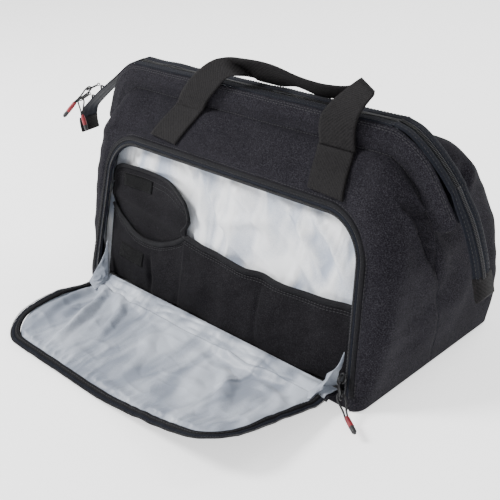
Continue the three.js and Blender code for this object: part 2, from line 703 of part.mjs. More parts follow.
// A pull: a flat tab from the slider, a doubled cord from the tab's eye, and a moulded grip on the cord.
function pull(letter, route) {
  const [start, eye, gripStart, gripEnd] = route;
  const strap = (from, to, half, thick) => {
    const along = vec(0, 0, 0).subVectors(to, from);
    const geometry = new THREE.BoxGeometry(half * 2, thick, along.length());
    const turn = new THREE.Quaternion().setFromUnitVectors(vec(0, 0, 1), along.clone().normalize());
    geometry.applyQuaternion(turn);
    const middle = from.clone().lerp(to, 0.5);
    geometry.translate(middle.x, middle.y, middle.z);
    return geometry;
  };
  add(`pull_tab_${letter}`, strap(start, eye, 3, 1.6), darkMetal);
  const run = vec(0, 0, 0).subVectors(gripStart, eye).normalize();
  const clear = (point, by) => point.clone().addScaledVector(run, by);
  add(`pull_cord_${letter}`, tube([clear(eye, GAP + 2), clear(gripStart, -GAP - 0.6)], 2.2, 4), cordBlack);
  const grip = vec(0, 0, 0).subVectors(gripEnd, gripStart);
  const sleeve = new THREE.CylinderGeometry(3.4, 2.8, grip.length(), 12);
  sleeve.applyQuaternion(new THREE.Quaternion().setFromUnitVectors(vec(0, 1, 0), grip.clone().normalize()));
  const middle = gripStart.clone().lerp(gripEnd, 0.5);
  sleeve.translate(middle.x, middle.y, middle.z);
  add(`pull_grip_${letter}`, sleeve, gripRed);
}

const TAIL_ALONG = vec(-0.8242, 0, -0.5663);
const TAIL_OUT = vec(-0.5663, 0, 0.8242);
const onTail = (x) => vec(x, 0, mix(212, 194, (x + 300) / -26)).addScaledVector(TAIL_OUT, 1.6);
slider('main_slider_a', onTail(-302), TAIL_ALONG, TAIL_OUT);
slider('main_slider_b', onTail(-328), TAIL_ALONG, TAIL_OUT);

const pinA = onTail(-302).addScaledVector(TAIL_OUT, 8);
const pinB = onTail(-328).addScaledVector(TAIL_OUT, 8);
const fromPin = (pin, x, y, z) => vec(pin.x + x, pin.y + y, pin.z + z);
pull('a', [fromPin(pinA, -3, -3, 1), fromPin(pinA, -9, -17, -3), fromPin(pinA, -18, -33, -17), fromPin(pinA, -27, -50, -35)]);
pull('b', [fromPin(pinB, -3, -3, 1), fromPin(pinB, -3, -19, -3), fromPin(pinB, 1, -22, -22), fromPin(pinB, 7, -23, -44)]);

const EDGE_ALONG = vec(-0.0774, 0.2777, 0.9575);
const EDGE_OUT = vec(0, -0.9604, 0.2785);
const FRONT_SLIDER_Z = 34;
const frontSliderX = openingHalf(FRONT_SLIDER_Z) + COIL / 2;
const frontSliderAt = vec(frontSliderX, onFront(FRONT_SLIDER_Z) - 3.2, FRONT_SLIDER_Z);
slider('front_slider', frontSliderAt, EDGE_ALONG, EDGE_OUT);
const pinC = frontSliderAt.clone().addScaledVector(EDGE_OUT, 9.6);
pull('c', [fromPin(pinC, 1, -1, -3), fromPin(pinC, 6, -4, -18), fromPin(pinC, 22, -15, -26.2), fromPin(pinC, 44, -28, -26.6)]);

export default bag;
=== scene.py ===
"""Visual model of a wide-mouth kit holdall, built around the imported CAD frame. Shapes are worked out in
millimetres in the CAD's frame and written in metres."""

import math

import bpy
import numpy as np
from mathutils import Matrix


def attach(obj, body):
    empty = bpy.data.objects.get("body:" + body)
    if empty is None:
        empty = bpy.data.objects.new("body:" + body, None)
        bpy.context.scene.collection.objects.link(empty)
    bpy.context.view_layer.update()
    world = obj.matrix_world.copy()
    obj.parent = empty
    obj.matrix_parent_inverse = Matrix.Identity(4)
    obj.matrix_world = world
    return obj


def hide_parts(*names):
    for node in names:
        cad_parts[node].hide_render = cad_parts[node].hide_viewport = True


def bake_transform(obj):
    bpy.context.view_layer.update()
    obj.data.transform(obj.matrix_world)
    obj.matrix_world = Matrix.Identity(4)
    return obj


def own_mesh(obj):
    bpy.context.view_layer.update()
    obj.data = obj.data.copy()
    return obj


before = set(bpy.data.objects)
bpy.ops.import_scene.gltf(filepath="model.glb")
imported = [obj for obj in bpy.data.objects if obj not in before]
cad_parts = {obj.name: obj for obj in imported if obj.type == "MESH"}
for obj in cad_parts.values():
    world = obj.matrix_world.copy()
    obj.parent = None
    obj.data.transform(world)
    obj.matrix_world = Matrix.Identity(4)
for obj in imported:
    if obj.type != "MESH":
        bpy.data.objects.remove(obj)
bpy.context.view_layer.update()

MM = 0.001

# --- The CAD's driving dimensions, in millimetres ---
HALF_DEPTH, LEAN = 116.0, 0.29
FRONT_TOP, END_TOP, SEAM_TOP = 198.1, 172.0, 2.7
LOW_CORNER, HIGH_CORNER = 13.0, 30.0
HINGE_Z, OPENING_TOP, OPENING_CORNER = 15.0, 184.0, 46.0
OPENING_LOW, OPENING_HIGH = 214.0, 200.0
RECESS = 17.0
FRAME_Y, CASING_HALF = 13.0, 16.0
FLAP_REACH, FLAP_HALF, FLAP_FAR, FLAP_CORNER = 159.0, 208.0, 200.0, 47.0
FLAT_SHARE = 0.7  # share of the outer cloth's width that lies on the flat front or back


def vec(*values):
    return np.array(values, float)


def clamp(t):
    return np.clip(t, 0.0, 1.0)


def smooth(t):
    c = clamp(t)
    return c * c * (3 - 2 * c)


def mix(a, b, t):
    return a + (b - a) * t


def unit(v):
    return v / np.maximum(np.linalg.norm(v, axis=-1, keepdims=True), 1e-9)


def half_depth(z):
    return HALF_DEPTH - LEAN * z


def back_depth(z):
    belly = 8 * np.sin(np.pi * clamp(z / 214))
    return 114 + belly - 30 * smooth((z - 125) / 95)


def on_front(z):
    return -half_depth(z)


def half_length(z):
    return 235 + 13 * np.sin(np.pi * clamp(z / 210))


def corner_radius(z):
    return mix(LOW_CORNER, HIGH_CORNER, smooth(z / END_TOP))


def flat_half(z):
    return half_length(z) - corner_radius(z)


def end_point(w, z, inset=0.0):
    """A point on the right end wall, from the front seam (w = -1) past the middle to the back seam."""
    radius = corner_radius(z)
    straight = np.where(w < 0, half_depth(z), back_depth(z)) - radius
    along = np.abs(w) * (straight + np.pi / 2 * radius)
    turn = np.maximum(0, (along - straight) / radius)
    x = half_length(z) - radius + (radius - inset) * np.cos(turn)
    y = np.where(along <= straight, along, straight + (radius - inset) * np.sin(turn))
    return np.stack([x, np.sign(w) * y, z], -1)


def field(seed, lengths, count=28):
    """A smooth random field of about unit size, with a length of wave along each axis."""
    rng = np.random.default_rng(seed)
    k = rng.normal(size=(count, 3)) * 2 * np.pi / np.array(lengths, float) * 0.6
    phase = rng.uniform(0, 2 * np.pi, count)

    def value(p):
        return np.sin(p @ k.T + phase).sum(-1) * math.sqrt(2 / count)

    return value


def polyline_distance(p, line):
    """The distance of each point from a polyline, and the share of the line's length at the nearest point."""
    line = np.array(line, float)
    lengths = np.linalg.norm(np.diff(line, axis=0), axis=1)
    before = np.concatenate([[0], np.cumsum(lengths)]) / lengths.sum()
    best = np.full(p.shape[:-1], 1e9)
    where = np.zeros(p.shape[:-1])
    for a, b, s0, s1 in zip(line[:-1], line[1:], before[:-1], before[1:]):
        t = clamp(((p - a) @ (b - a)) / ((b - a) @ (b - a)))
        d = np.linalg.norm(p - (a + t[..., None] * (b - a)), axis=-1)
        near = d < best
        best = np.where(near, d, best)
        where = np.where(near, mix(s0, s1, t), where)
    return best, where


def swell(where):
    """The height of a fold along its length: full in the middle and low at its ends."""
    return np.sin(np.pi * clamp(where * 0.9 + 0.05))


def spline(points, samples):
    """A smooth curve through points, sampled evenly along its length."""
    pts = np.array(points, float)
    if len(pts) == 2:
        pts = np.array([pts[0], (pts[0] + pts[1]) / 2, pts[1]])
    ext = np.vstack([2 * pts[0] - pts[1], pts, 2 * pts[-1] - pts[-2]])
    fine = []
    for i in range(1, len(ext) - 2):
        p0, p1, p2, p3 = ext[i - 1 : i + 3]
        for t in np.linspace(0, 1, 24, endpoint=False):
            square = t**2 * (2 * p0 - 5 * p1 + 4 * p2 - p3)
            cube = t**3 * (3 * p1 - p0 - 3 * p2 + p3)
            fine.append(0.5 * (2 * p1 + (p2 - p0) * t + square + cube))
    fine.append(pts[-1])
    return even(np.array(fine), samples)


def even(line, samples):
    lengths = np.linalg.norm(np.diff(line, axis=0), axis=1)
    run = np.concatenate([[0], np.cumsum(lengths)])
    at = np.linspace(0, run[-1], samples)
    return np.stack([np.interp(at, run, line[:, k]) for k in range(line.shape[1])], -1)


# --- Meshes ---


def mesh(name, points, faces, material, uv=None, rim_from=None):
    """A mesh object from points in millimetres. uv has metres, and faces from rim_from on are flat."""
    data = bpy.data.meshes.new(name)
    data.from_pydata((np.asarray(points, float) * MM).tolist(), [], [list(map(int, f)) for f in faces])
    soft = len(faces) if rim_from is None else rim_from
    data.polygons.foreach_set("use_smooth", [k < soft for k in range(len(faces))])
    if uv is not None:
        layer = data.uv_layers.new(name="cloth")
        loops = np.zeros(len(data.loops), np.int32)
        data.loops.foreach_get("vertex_index", loops)
        layer.data.foreach_set("uv", np.asarray(uv, np.float32)[loops].ravel())
    data.materials.append(material)
    data.update()
    obj = bpy.data.objects.new(name, data)
    bpy.context.scene.collection.objects.link(obj)
    return obj


def grid_faces(n, m, closed=False):
    i, j = np.meshgrid(np.arange(n if closed else n - 1), np.arange(m - 1), indexing="ij")
    a = i * m + j
    b = ((i + 1) % n) * m + j
    return np.stack([a, b, b + 1, a + 1], -1).reshape(-1, 4)


def grid_normals(p):
    du = np.gradient(p, axis=0)
    dv = np.gradient(p, axis=1)
    return unit(np.cross(du, dv))


def grid_uv(p):
    """Distances along a grid's rows and columns, in metres."""
    du = np.linalg.norm(np.diff(p, axis=0), axis=2).mean(1)
    dv = np.linalg.norm(np.diff(p, axis=1), axis=2).mean(0)
    u = np.concatenate([[0], np.cumsum(du)])
    v = np.concatenate([[0], np.cumsum(dv)])
    return np.stack(np.meshgrid(u, v, indexing="ij"), -1) * MM


def thicken(points, normals, faces, thickness):
    """Closes a sheet: its faces, a second layer inside them, and a rim along each free edge."""
    n = len(points)
    pts = np.vstack([points, points - normals * thickness])
    edges = {}
    for f in faces:
        for a, b in zip(f, np.roll(f, -1)):
            if (b, a) in edges:
                del edges[(b, a)]
            else:
                edges[(a, b)] = True
    rim = [(b, a, a + n, b + n) for a, b in edges]
    return pts, list(map(tuple, faces)) + [tuple(x + n for x in f[::-1]) for f in faces] + rim


def cloth(name, p, thickness, material, out=None, normals=None, uv=None):
    """A closed sheet from a grid of its outer face. out is a direction that the outer face looks towards."""
    p = np.asarray(p, float)
    n = grid_normals(p) if normals is None else normals
    faces = grid_faces(*p.shape[:2])
    if out is not None and (n @ np.array(out, float)).mean() < 0:
        n, faces = -n, faces[:, ::-1]
    uv = grid_uv(p) if uv is None else uv
    pts, fs = thicken(p.reshape(-1, 3), n.reshape(-1, 3), faces, thickness)
    return mesh(name, pts, fs, material, np.vstack([uv.reshape(-1, 2)] * 2), 2 * len(faces))


class Surface:
    """A grid of points that can be read between its samples, with u and v from 0 to 1."""

    def __init__(self, p, out=None):
        self.p = p
        self.n = grid_normals(p)
        if out is not None and (self.n @ np.array(out, float)).mean() < 0:
            self.n = -self.n

    def at(self, u, v, lift=0.0):
        u, v = np.broadcast_arrays(np.asarray(u, float), np.asarray(v, float))
        a = clamp(u) * (self.p.shape[0] - 1)
        b = clamp(v) * (self.p.shape[1] - 1)
        i = np.minimum(a.astype(int), self.p.shape[0] - 2)
        j = np.minimum(b.astype(int), self.p.shape[1] - 2)
        fa, fb = (a - i)[..., None], (b - j)[..., None]

        def read(g):
            return mix(mix(g[i, j], g[i + 1, j], fa), mix(g[i, j + 1], g[i + 1, j + 1], fa), fb)

        normal = unit(read(self.n))
        return read(self.p) + normal * lift, normal


def sweep(name, line, section, material, across):
    """Carries a closed section of (side, up) points along a line; across is each point's side direction."""
    line = np.asarray(line, float)
    along = unit(np.gradient(line, axis=0))
    across = np.broadcast_to(across, line.shape)
    side = unit(across - (across * along).sum(-1, keepdims=True) * along)
    up = np.cross(along, side)
    section = np.asarray(section, float)
    if section.ndim == 2:
        section = np.broadcast_to(section, (len(line),) + section.shape)
    p = line[:, None] + side[:, None] * section[..., :1] + up[:, None] * section[..., 1:]
    n, m = p.shape[:2]
    i, j = np.meshgrid(np.arange(n - 1), np.arange(m), indexing="ij")
    a, b = i * m + j, i * m + (j + 1) % m
    faces = list(map(tuple, np.stack([a, b, b + m, a + m], -1).reshape(-1, 4)))
    faces += [tuple(range(m))[::-1], tuple(range((n - 1) * m, n * m))]
    run = np.concatenate([[0], np.cumsum(np.linalg.norm(np.diff(line, axis=0), axis=1))])
    round_it = np.concatenate([[0], np.cumsum(np.linalg.norm(np.diff(section.mean(0), axis=0), axis=1))])
    uv = np.stack(np.meshgrid(run, round_it, indexing="ij"), -1).reshape(-1, 2) * MM
    return oriented(mesh(name, p.reshape(-1, 3), faces, material, uv))


def oriented(obj):
    """Turns a closed mesh's faces so that they point out."""
    import bmesh

    bm = bmesh.new()
    bm.from_mesh(obj.data)
    bmesh.ops.recalc_face_normals(bm, faces=bm.faces)
    bm.to_mesh(obj.data)
    bm.free()
    return obj


def capsule(length, width, height, sides=6):
    """The points and faces of a small rounded bar along its first axis."""
    rings = [(-0.5, 0.35), (-0.32, 1.0), (0.32, 1.0), (0.5, 0.35)]
    pts, faces = [], []
    for along, r in rings:
        for k in range(sides):
            t = 2 * math.pi * k / sides
            pts.append((along * length, r * width / 2 * math.cos(t), r * height / 2 * math.sin(t)))
    for i in range(len(rings) - 1):
        for k in range(sides):
            a, b = i * sides + k, i * sides + (k + 1) % sides
            faces.append((a, b, b + sides, a + sides))
    faces.append(tuple(range(sides))[::-1])
    faces.append(tuple(range(len(pts) - sides, len(pts))))
    return np.array(pts), faces


def scatter(name, shape, places, along, side, material):
    """Copies a small shape to each place, with its first two axes along the given directions."""
    pts, faces = shape
    along = unit(along)
    side = unit(side - (side * along).sum(-1, keepdims=True) * along)
    up = np.cross(along, side)
    at = (
        places[:, None]
        + along[:, None] * pts[None, :, :1]
        + side[:, None] * pts[None, :, 1:2]
        + up[:, None] * pts[None, :, 2:]
    )
    every = [tuple(x + i * len(pts) for x in f) for i in range(len(places)) for f in faces]
    return mesh(name, at.reshape(-1, 3), every, material)


def row_places(line, pitch):
    count = max(3, int(np.linalg.norm(np.diff(line, axis=0), axis=1).sum() / pitch))
    pts = even(line, count)
    return pts, unit(np.gradient(pts, axis=0))


STITCH = capsule(3.0, 0.75, 0.6, 5)


def stitches(name, rows, material):
    """Rows of stitches; a row is its line of points and a direction across it."""
    places, along, side = [], [], []
    for line, across in rows:
        pts, t = row_places(np.asarray(line, float), 4.2)
        places.append(pts)
        along.append(t)
        if np.ndim(across) == 1:
            side.append(np.broadcast_to(across, pts.shape))
        else:
            side.append(even(np.asarray(across, float), len(pts)))
    return scatter(name, STITCH, np.vstack(places), np.vstack(along), np.vstack(side), material)


def join(name, *objs):
    """Joins mesh objects into the first."""
    chosen = list(objs)
    with bpy.context.temp_override(
        active_object=objs[0], object=objs[0], selected_objects=chosen, selected_editable_objects=chosen
    ):
        bpy.ops.object.join()
    objs[0].name = name
    objs[0].data.name = name
    return objs[0]


def settle(obj, slot, *nodes):
    """Hides the CAD nodes that a piece stands for. Its slot is not used."""
    if nodes:
        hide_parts(*nodes)
    return obj


# --- Materials ---


class Nodes:
    """Builds a material's nodes, each linked from what it reads."""

    def __init__(self, name):
        self.material = bpy.data.materials.new(name)
        self.material.use_nodes = True
        self.tree = self.material.node_tree
        self.shader = self.tree.nodes["Principled BSDF"]

    def add(self, kind, inputs=None, **settings):
        node = self.tree.nodes.new("ShaderNode" + kind)
        for key, value in settings.items():
            setattr(node, key, value)
        for key, value in (inputs or {}).items():
            self.put(node.inputs[key], value)
        return node

    def put(self, socket, value):
        if isinstance(value, bpy.types.NodeSocket):
            self.tree.links.new(value, socket)
        else:
            socket.default_value = value

    def set(self, **inputs):
        for key, value in inputs.items():
            self.put(self.shader.inputs[key.replace("_", " ")], value)

    def noise(self, vector, scale, detail=3.0, rough=0.55):
        settings = {"Vector": vector, "Scale": scale, "Detail": detail, "Roughness": rough}
        return self.add("TexNoise", settings).outputs[0]

    def ramp(self, factor, stops):
        node = self.add("ValToRGB", {"Fac": factor})
        while len(node.color_ramp.elements) < len(stops):
            node.color_ramp.elements.new(0.5)
        for element, (at, colour) in zip(node.color_ramp.elements, stops):
            element.position = at
            element.color = colour if len(colour) == 4 else (*colour, 1)
        return node.outputs[0]

    def math(self, kind, a, b=0.0):
        return self.add("Math", {0: a, 1: b}, operation=kind).outputs[0]

    def wave(self, vector, scale, direction="X", distortion=0.0):
        settings = {"Vector": vector, "Scale": scale, "Distortion": distortion, "Detail": 1.0}
        settings["Detail Scale"] = 2.0
        return self.add("TexWave", settings, wave_type="BANDS", bands_direction=direction).outputs["Fac"]

    def bump(self, height, strength, distance, normal=None):
        inputs = {"Height": height, "Strength": strength, "Distance": distance}
        if normal is not None:
            inputs["Normal"] = normal
        return self.add("Bump", inputs).outputs[0]


WAVE_SCALE = math.pi / 10  # a wave texture's scale times its period
THREAD_SHADE = 0.16  # how far the threads of a weave change its colour
SATIN_PERIOD = 0.0011


def woven(name, low, high, period, rough, relief, blotch, sheen=0.0, twill=False, fleck=0.0):
    """A woven cloth: two crossed thread waves, a fine melange between two colours, and large soft patches."""
    m = Nodes(name)
    place = m.add("TexCoord").outputs["Object"]
    flat = m.add("UVMap", uv_map="cloth").outputs[0]
    scale = WAVE_SCALE / period
    weave = m.wave(flat, scale * 0.7, "DIAGONAL") if twill else m.wave(flat, scale, "X")
    cross = m.wave(flat, scale, "Y")
    threads = m.math("MULTIPLY", weave, cross)
    fine = m.noise(place, 980.0, 2.0)
    medium = m.noise(place, 260.0, 3.0, 0.7)
    large = m.noise(place, 18.0, 3.0)
    speck = m.math("ADD", m.math("MULTIPLY", fine, 0.82), m.math("MULTIPLY", medium, 0.18))
    tone = m.math("ADD", m.math("MULTIPLY", speck, 1.0 - blotch), m.math("MULTIPLY", large, blotch))
    tone = m.math("ADD", m.math("MULTIPLY", threads, THREAD_SHADE), tone)
    stops = [(0.41, low), (0.61, high)]
    if fleck:
        stops.append((0.68, tuple(c + fleck for c in high)))
    colour = m.ramp(tone, stops)
    height = m.math("ADD", m.math("MULTIPLY", threads, 0.6), m.math("MULTIPLY", fine, 0.5))
    m.set(Base_Color=colour, Roughness=rough, Normal=m.bump(height, relief, 0.0004))
    m.shader.inputs["Sheen Weight"].default_value = sheen
    m.shader.inputs["Sheen Roughness"].default_value = 0.5
    m.shader.inputs["Specular IOR Level"].default_value = 0.07
    return m.material


def satin(name, low, high, rough):
    """A thin silver lining: a tight glossy weave, slanting soft streaks of painted fold shade that darken it
    to blue-grey and also bump it, and faint creases.
    """
    m = Nodes(name)
    place = m.add("TexCoord").outputs["Object"]
    flat = m.add("UVMap", uv_map="cloth").outputs[0]
    scale = WAVE_SCALE / SATIN_PERIOD
    threads = m.math("MULTIPLY", m.wave(flat, scale, "X"), m.wave(flat, scale, "Y"))
    fine = m.noise(place, 700.0, 2.0)
    turn = {"Vector": place, "Rotation": (0.5, 0.6, 0.7), "Scale": (21.0, 5.0, 8.0)}
    slanted = m.add("Mapping", turn).outputs[0]
    soft = {"Vector": slanted, "Scale": 1.0, "Detail": 2.0, "Distortion": 1.1}
    painted_fold_shade_and_bump = m.add("TexNoise", soft).outputs[0]
    # Painted fold shade: the slanted noise darkens the colour towards blue-grey along soft streaks, and a
    # fine noise adds grain.
    tone = m.math("ADD", m.math("MULTIPLY", painted_fold_shade_and_bump, 0.86), m.math("MULTIPLY", fine, 0.14))
    m.set(Base_Color=m.ramp(tone, [(0.39, low), (0.58, high)]))
    creases = m.noise(place, 60.0, 4.0, 0.6)
    m.set(Roughness=m.math("ADD", m.math("MULTIPLY", creases, 0.2), rough))
    normal = m.bump(creases, 0.25, 0.0012, m.bump(painted_fold_shade_and_bump, 0.7, 0.014))
    m.set(Normal=m.bump(threads, 0.1, 0.0002, normal))
    m.shader.inputs["Sheen Weight"].default_value = 0.25
    m.shader.inputs["Sheen Roughness"].default_value = 0.35
    m.shader.inputs["Anisotropic"].default_value = 0.3
    return m.material


def plastic(name, low, high, rough, grain=700.0, relief=0.08, metallic=0.0, coat=0.0):
    """A moulded, lacquered or metal surface with a little grain and wear."""
    m = Nodes(name)
    place = m.add("TexCoord").outputs["Object"]
    fine = m.noise(place, grain, 3.0)
    large = m.noise(place, 90.0, 3.0)
    m.set(Base_Color=m.ramp(large, [(0.35, low), (0.7, high)]))
    m.set(Roughness=m.math("ADD", m.math("MULTIPLY", fine, 0.16), rough - 0.08))
    m.set(Normal=m.bump(fine, relief, 0.0003))
    m.shader.inputs["Metallic"].default_value = metallic
    m.shader.inputs["Coat Weight"].default_value = coat
    return m.material


def braid(name, low, high):
    m = Nodes(name)
    place = m.add("TexCoord").outputs["Object"]
    weave = m.wave(place, WAVE_SCALE / 0.0012, "DIAGONAL", 1.0)
    fine = m.noise(place, 1200.0, 2.0)
    m.set(Base_Color=m.ramp(weave, [(0.2, low), (0.8, high)]), Roughness=0.75)
    m.set(Normal=m.bump(m.math("ADD", weave, fine), 0.5, 0.0003))
    return m.material


CANVAS = woven(
    "canvas", (0.0035, 0.0033, 0.0048), (0.0175, 0.0163, 0.0215), 0.0011, 0.86, 0.6, 0.1, 0.01, fleck=0.02
)
POCKET = woven(
    "pocket_canvas",
    (0.003, 0.0028, 0.0036),
    (0.011, 0.0102, 0.0124),
    0.0011,
    0.88,
    0.45,
    0.2,
    0.02,
    fleck=0.014,
)
WEBBING = woven(
    "webbing", (0.0035, 0.0033, 0.0036), (0.015, 0.0138, 0.0144), 0.0016, 0.66, 0.9, 0.12, 0.02, twill=True
)
TAPE = woven(
    "zip_tape", (0.0045, 0.0052, 0.0080), (0.012, 0.0135, 0.020), 0.0009, 0.66, 0.5, 0.15, 0.02, twill=True
)
BINDING = woven("binding", (0.004, 0.004, 0.0048), (0.013, 0.0128, 0.0148), 0.0010, 0.6, 0.6, 0.15, 0.02)
THREAD = braid("thread", (0.03, 0.03, 0.033), (0.075, 0.075, 0.08))
DARK_THREAD = braid("dark_thread", (0.006, 0.006, 0.0075), (0.022, 0.022, 0.026))
# Each satin's low colour is the painted shade of its folds.
SATIN = satin("satin", (0.40, 0.45, 0.55), (0.90, 0.91, 0.93), 0.32)
FLAP_SATIN = satin("flap_satin", (0.24, 0.27, 0.33), (0.50, 0.54, 0.61), 0.34)
VELCRO = woven("velcro", (0.002, 0.002, 0.002), (0.009, 0.009, 0.010), 0.0009, 0.95, 1.0, 0.2, 0.05)
COIL = plastic("coil", (0.006, 0.006, 0.007), (0.016, 0.016, 0.018), 0.35)
DARK_METAL = plastic("dark_metal", (0.012, 0.012, 0.013), (0.035, 0.035, 0.038), 0.32, 500.0, 0.05, 0.85, 0.4)
BOARD = plastic("board", (0.02, 0.02, 0.021), (0.045, 0.045, 0.046), 0.7, 300.0, 0.3)
CORD = braid("cord", (0.008, 0.008, 0.009), (0.03, 0.03, 0.032))
RED = plastic("grip_red", (0.16, 0.008, 0.014), (0.30, 0.02, 0.03), 0.45, 500.0, 0.2)
GRIP_BLACK = plastic("grip_black", (0.012, 0.012, 0.013), (0.03, 0.03, 0.032), 0.5, 500.0, 0.2)


# --- Camera, at the photograph's angle ---

TARGET = vec(5.1, -31.5, 86.2) * MM
AZIMUTH, ELEVATION, ROLL = map(math.radians, (48.77, 27.26, -5.64))
DISTANCE = 1.0916
flat_share, rise_share = math.cos(ELEVATION), math.sin(ELEVATION)
back = vec(math.sin(AZIMUTH) * flat_share, -math.cos(AZIMUTH) * flat_share, rise_share)
level = unit(np.cross(-back, vec(0, 0, 1)))
upright = np.cross(level, -back)
right = level * math.cos(ROLL) + upright * math.sin(ROLL)
top = upright * math.cos(ROLL) - level * math.sin(ROLL)
camera_data = bpy.data.cameras.new("camera")
camera_data.lens, camera_data.sensor_width = 66.96, 36.0
camera_data.shift_x, camera_data.shift_y = -0.0045, -0.0108
camera_data.clip_end = 20
camera = bpy.data.objects.new("camera", camera_data)
turn = np.eye(4)
turn[:3, 0], turn[:3, 1], turn[:3, 2], turn[:3, 3] = right, top, back, TARGET + back * DISTANCE
camera.matrix_world = Matrix(turn.tolist())
bpy.context.scene.collection.objects.link(camera)
bpy.context.scene.camera = camera


# --- Zip pulls: a tab on each slider, a looped cord through its eye, and a moulded grip ---

TAIL_ALONG, TAIL_OUT = vec(-0.8242, 0, -0.5663), vec(-0.5663, 0, 0.8242)
EDGE_ALONG, EDGE_OUT = vec(-0.0774, 0.2777, 0.9575), vec(0, -0.9604, 0.2785)


def on_tail(x):
    return vec(x, 0, mix(212, 194, (x + 300) / -26)) + TAIL_OUT * 1.6


def opening_half(z):
    return mix(OPENING_LOW, OPENING_HIGH, (z - HINGE_Z) / (OPENING_TOP - HINGE_Z))


FRONT_SLIDER = vec(opening_half(34) + 1.3, on_front(34) - 3.2, 34)
SLIDERS = {
    "a": (on_tail(-302), TAIL_ALONG, TAIL_OUT, 8.0, "main_slider_a"),
    "b": (on_tail(-328), TAIL_ALONG, TAIL_OUT, 8.0, "main_slider_b"),
    "c": (FRONT_SLIDER, -EDGE_ALONG, EDGE_OUT, 9.6, "front_slider"),
}
CORD_DIAMETER = 0.0021
# Each pull from its pin: the tab's two ends, the cord's far end and the grip's far end.
PULLS = {
    "a": [(-3, -3, 1), (-9, -17, -3), (-18, -33, -17), (-27, -50, -35)],
    "b": [(-3, -3, 1), (-3, -19, -3), (1, -22, -22), (7, -23, -44)],
    "c": [(1, -1, -3), (6, -4, -18), (22, -15, -26.2), (44, -28, -26.6)],
}


def round_bar(name, line, radii, material, sides=14):
    """A round bar of changing radius along a line, with closed ends."""
    line = np.asarray(line, float)
    along = unit(np.gradient(line, axis=0))
    guide = vec(0.3, 1, 0.2) if abs(along[0][1]) < 0.8 else vec(1, 0, 0.3)
    turnings = np.linspace(0, 2 * np.pi, sides, endpoint=False)
    section = np.stack([np.cos(turnings), np.sin(turnings)], -1)
    sections = section[None] * np.asarray(radii, float)[:, None, None]
    return sweep(name, line, sections, material, guide)


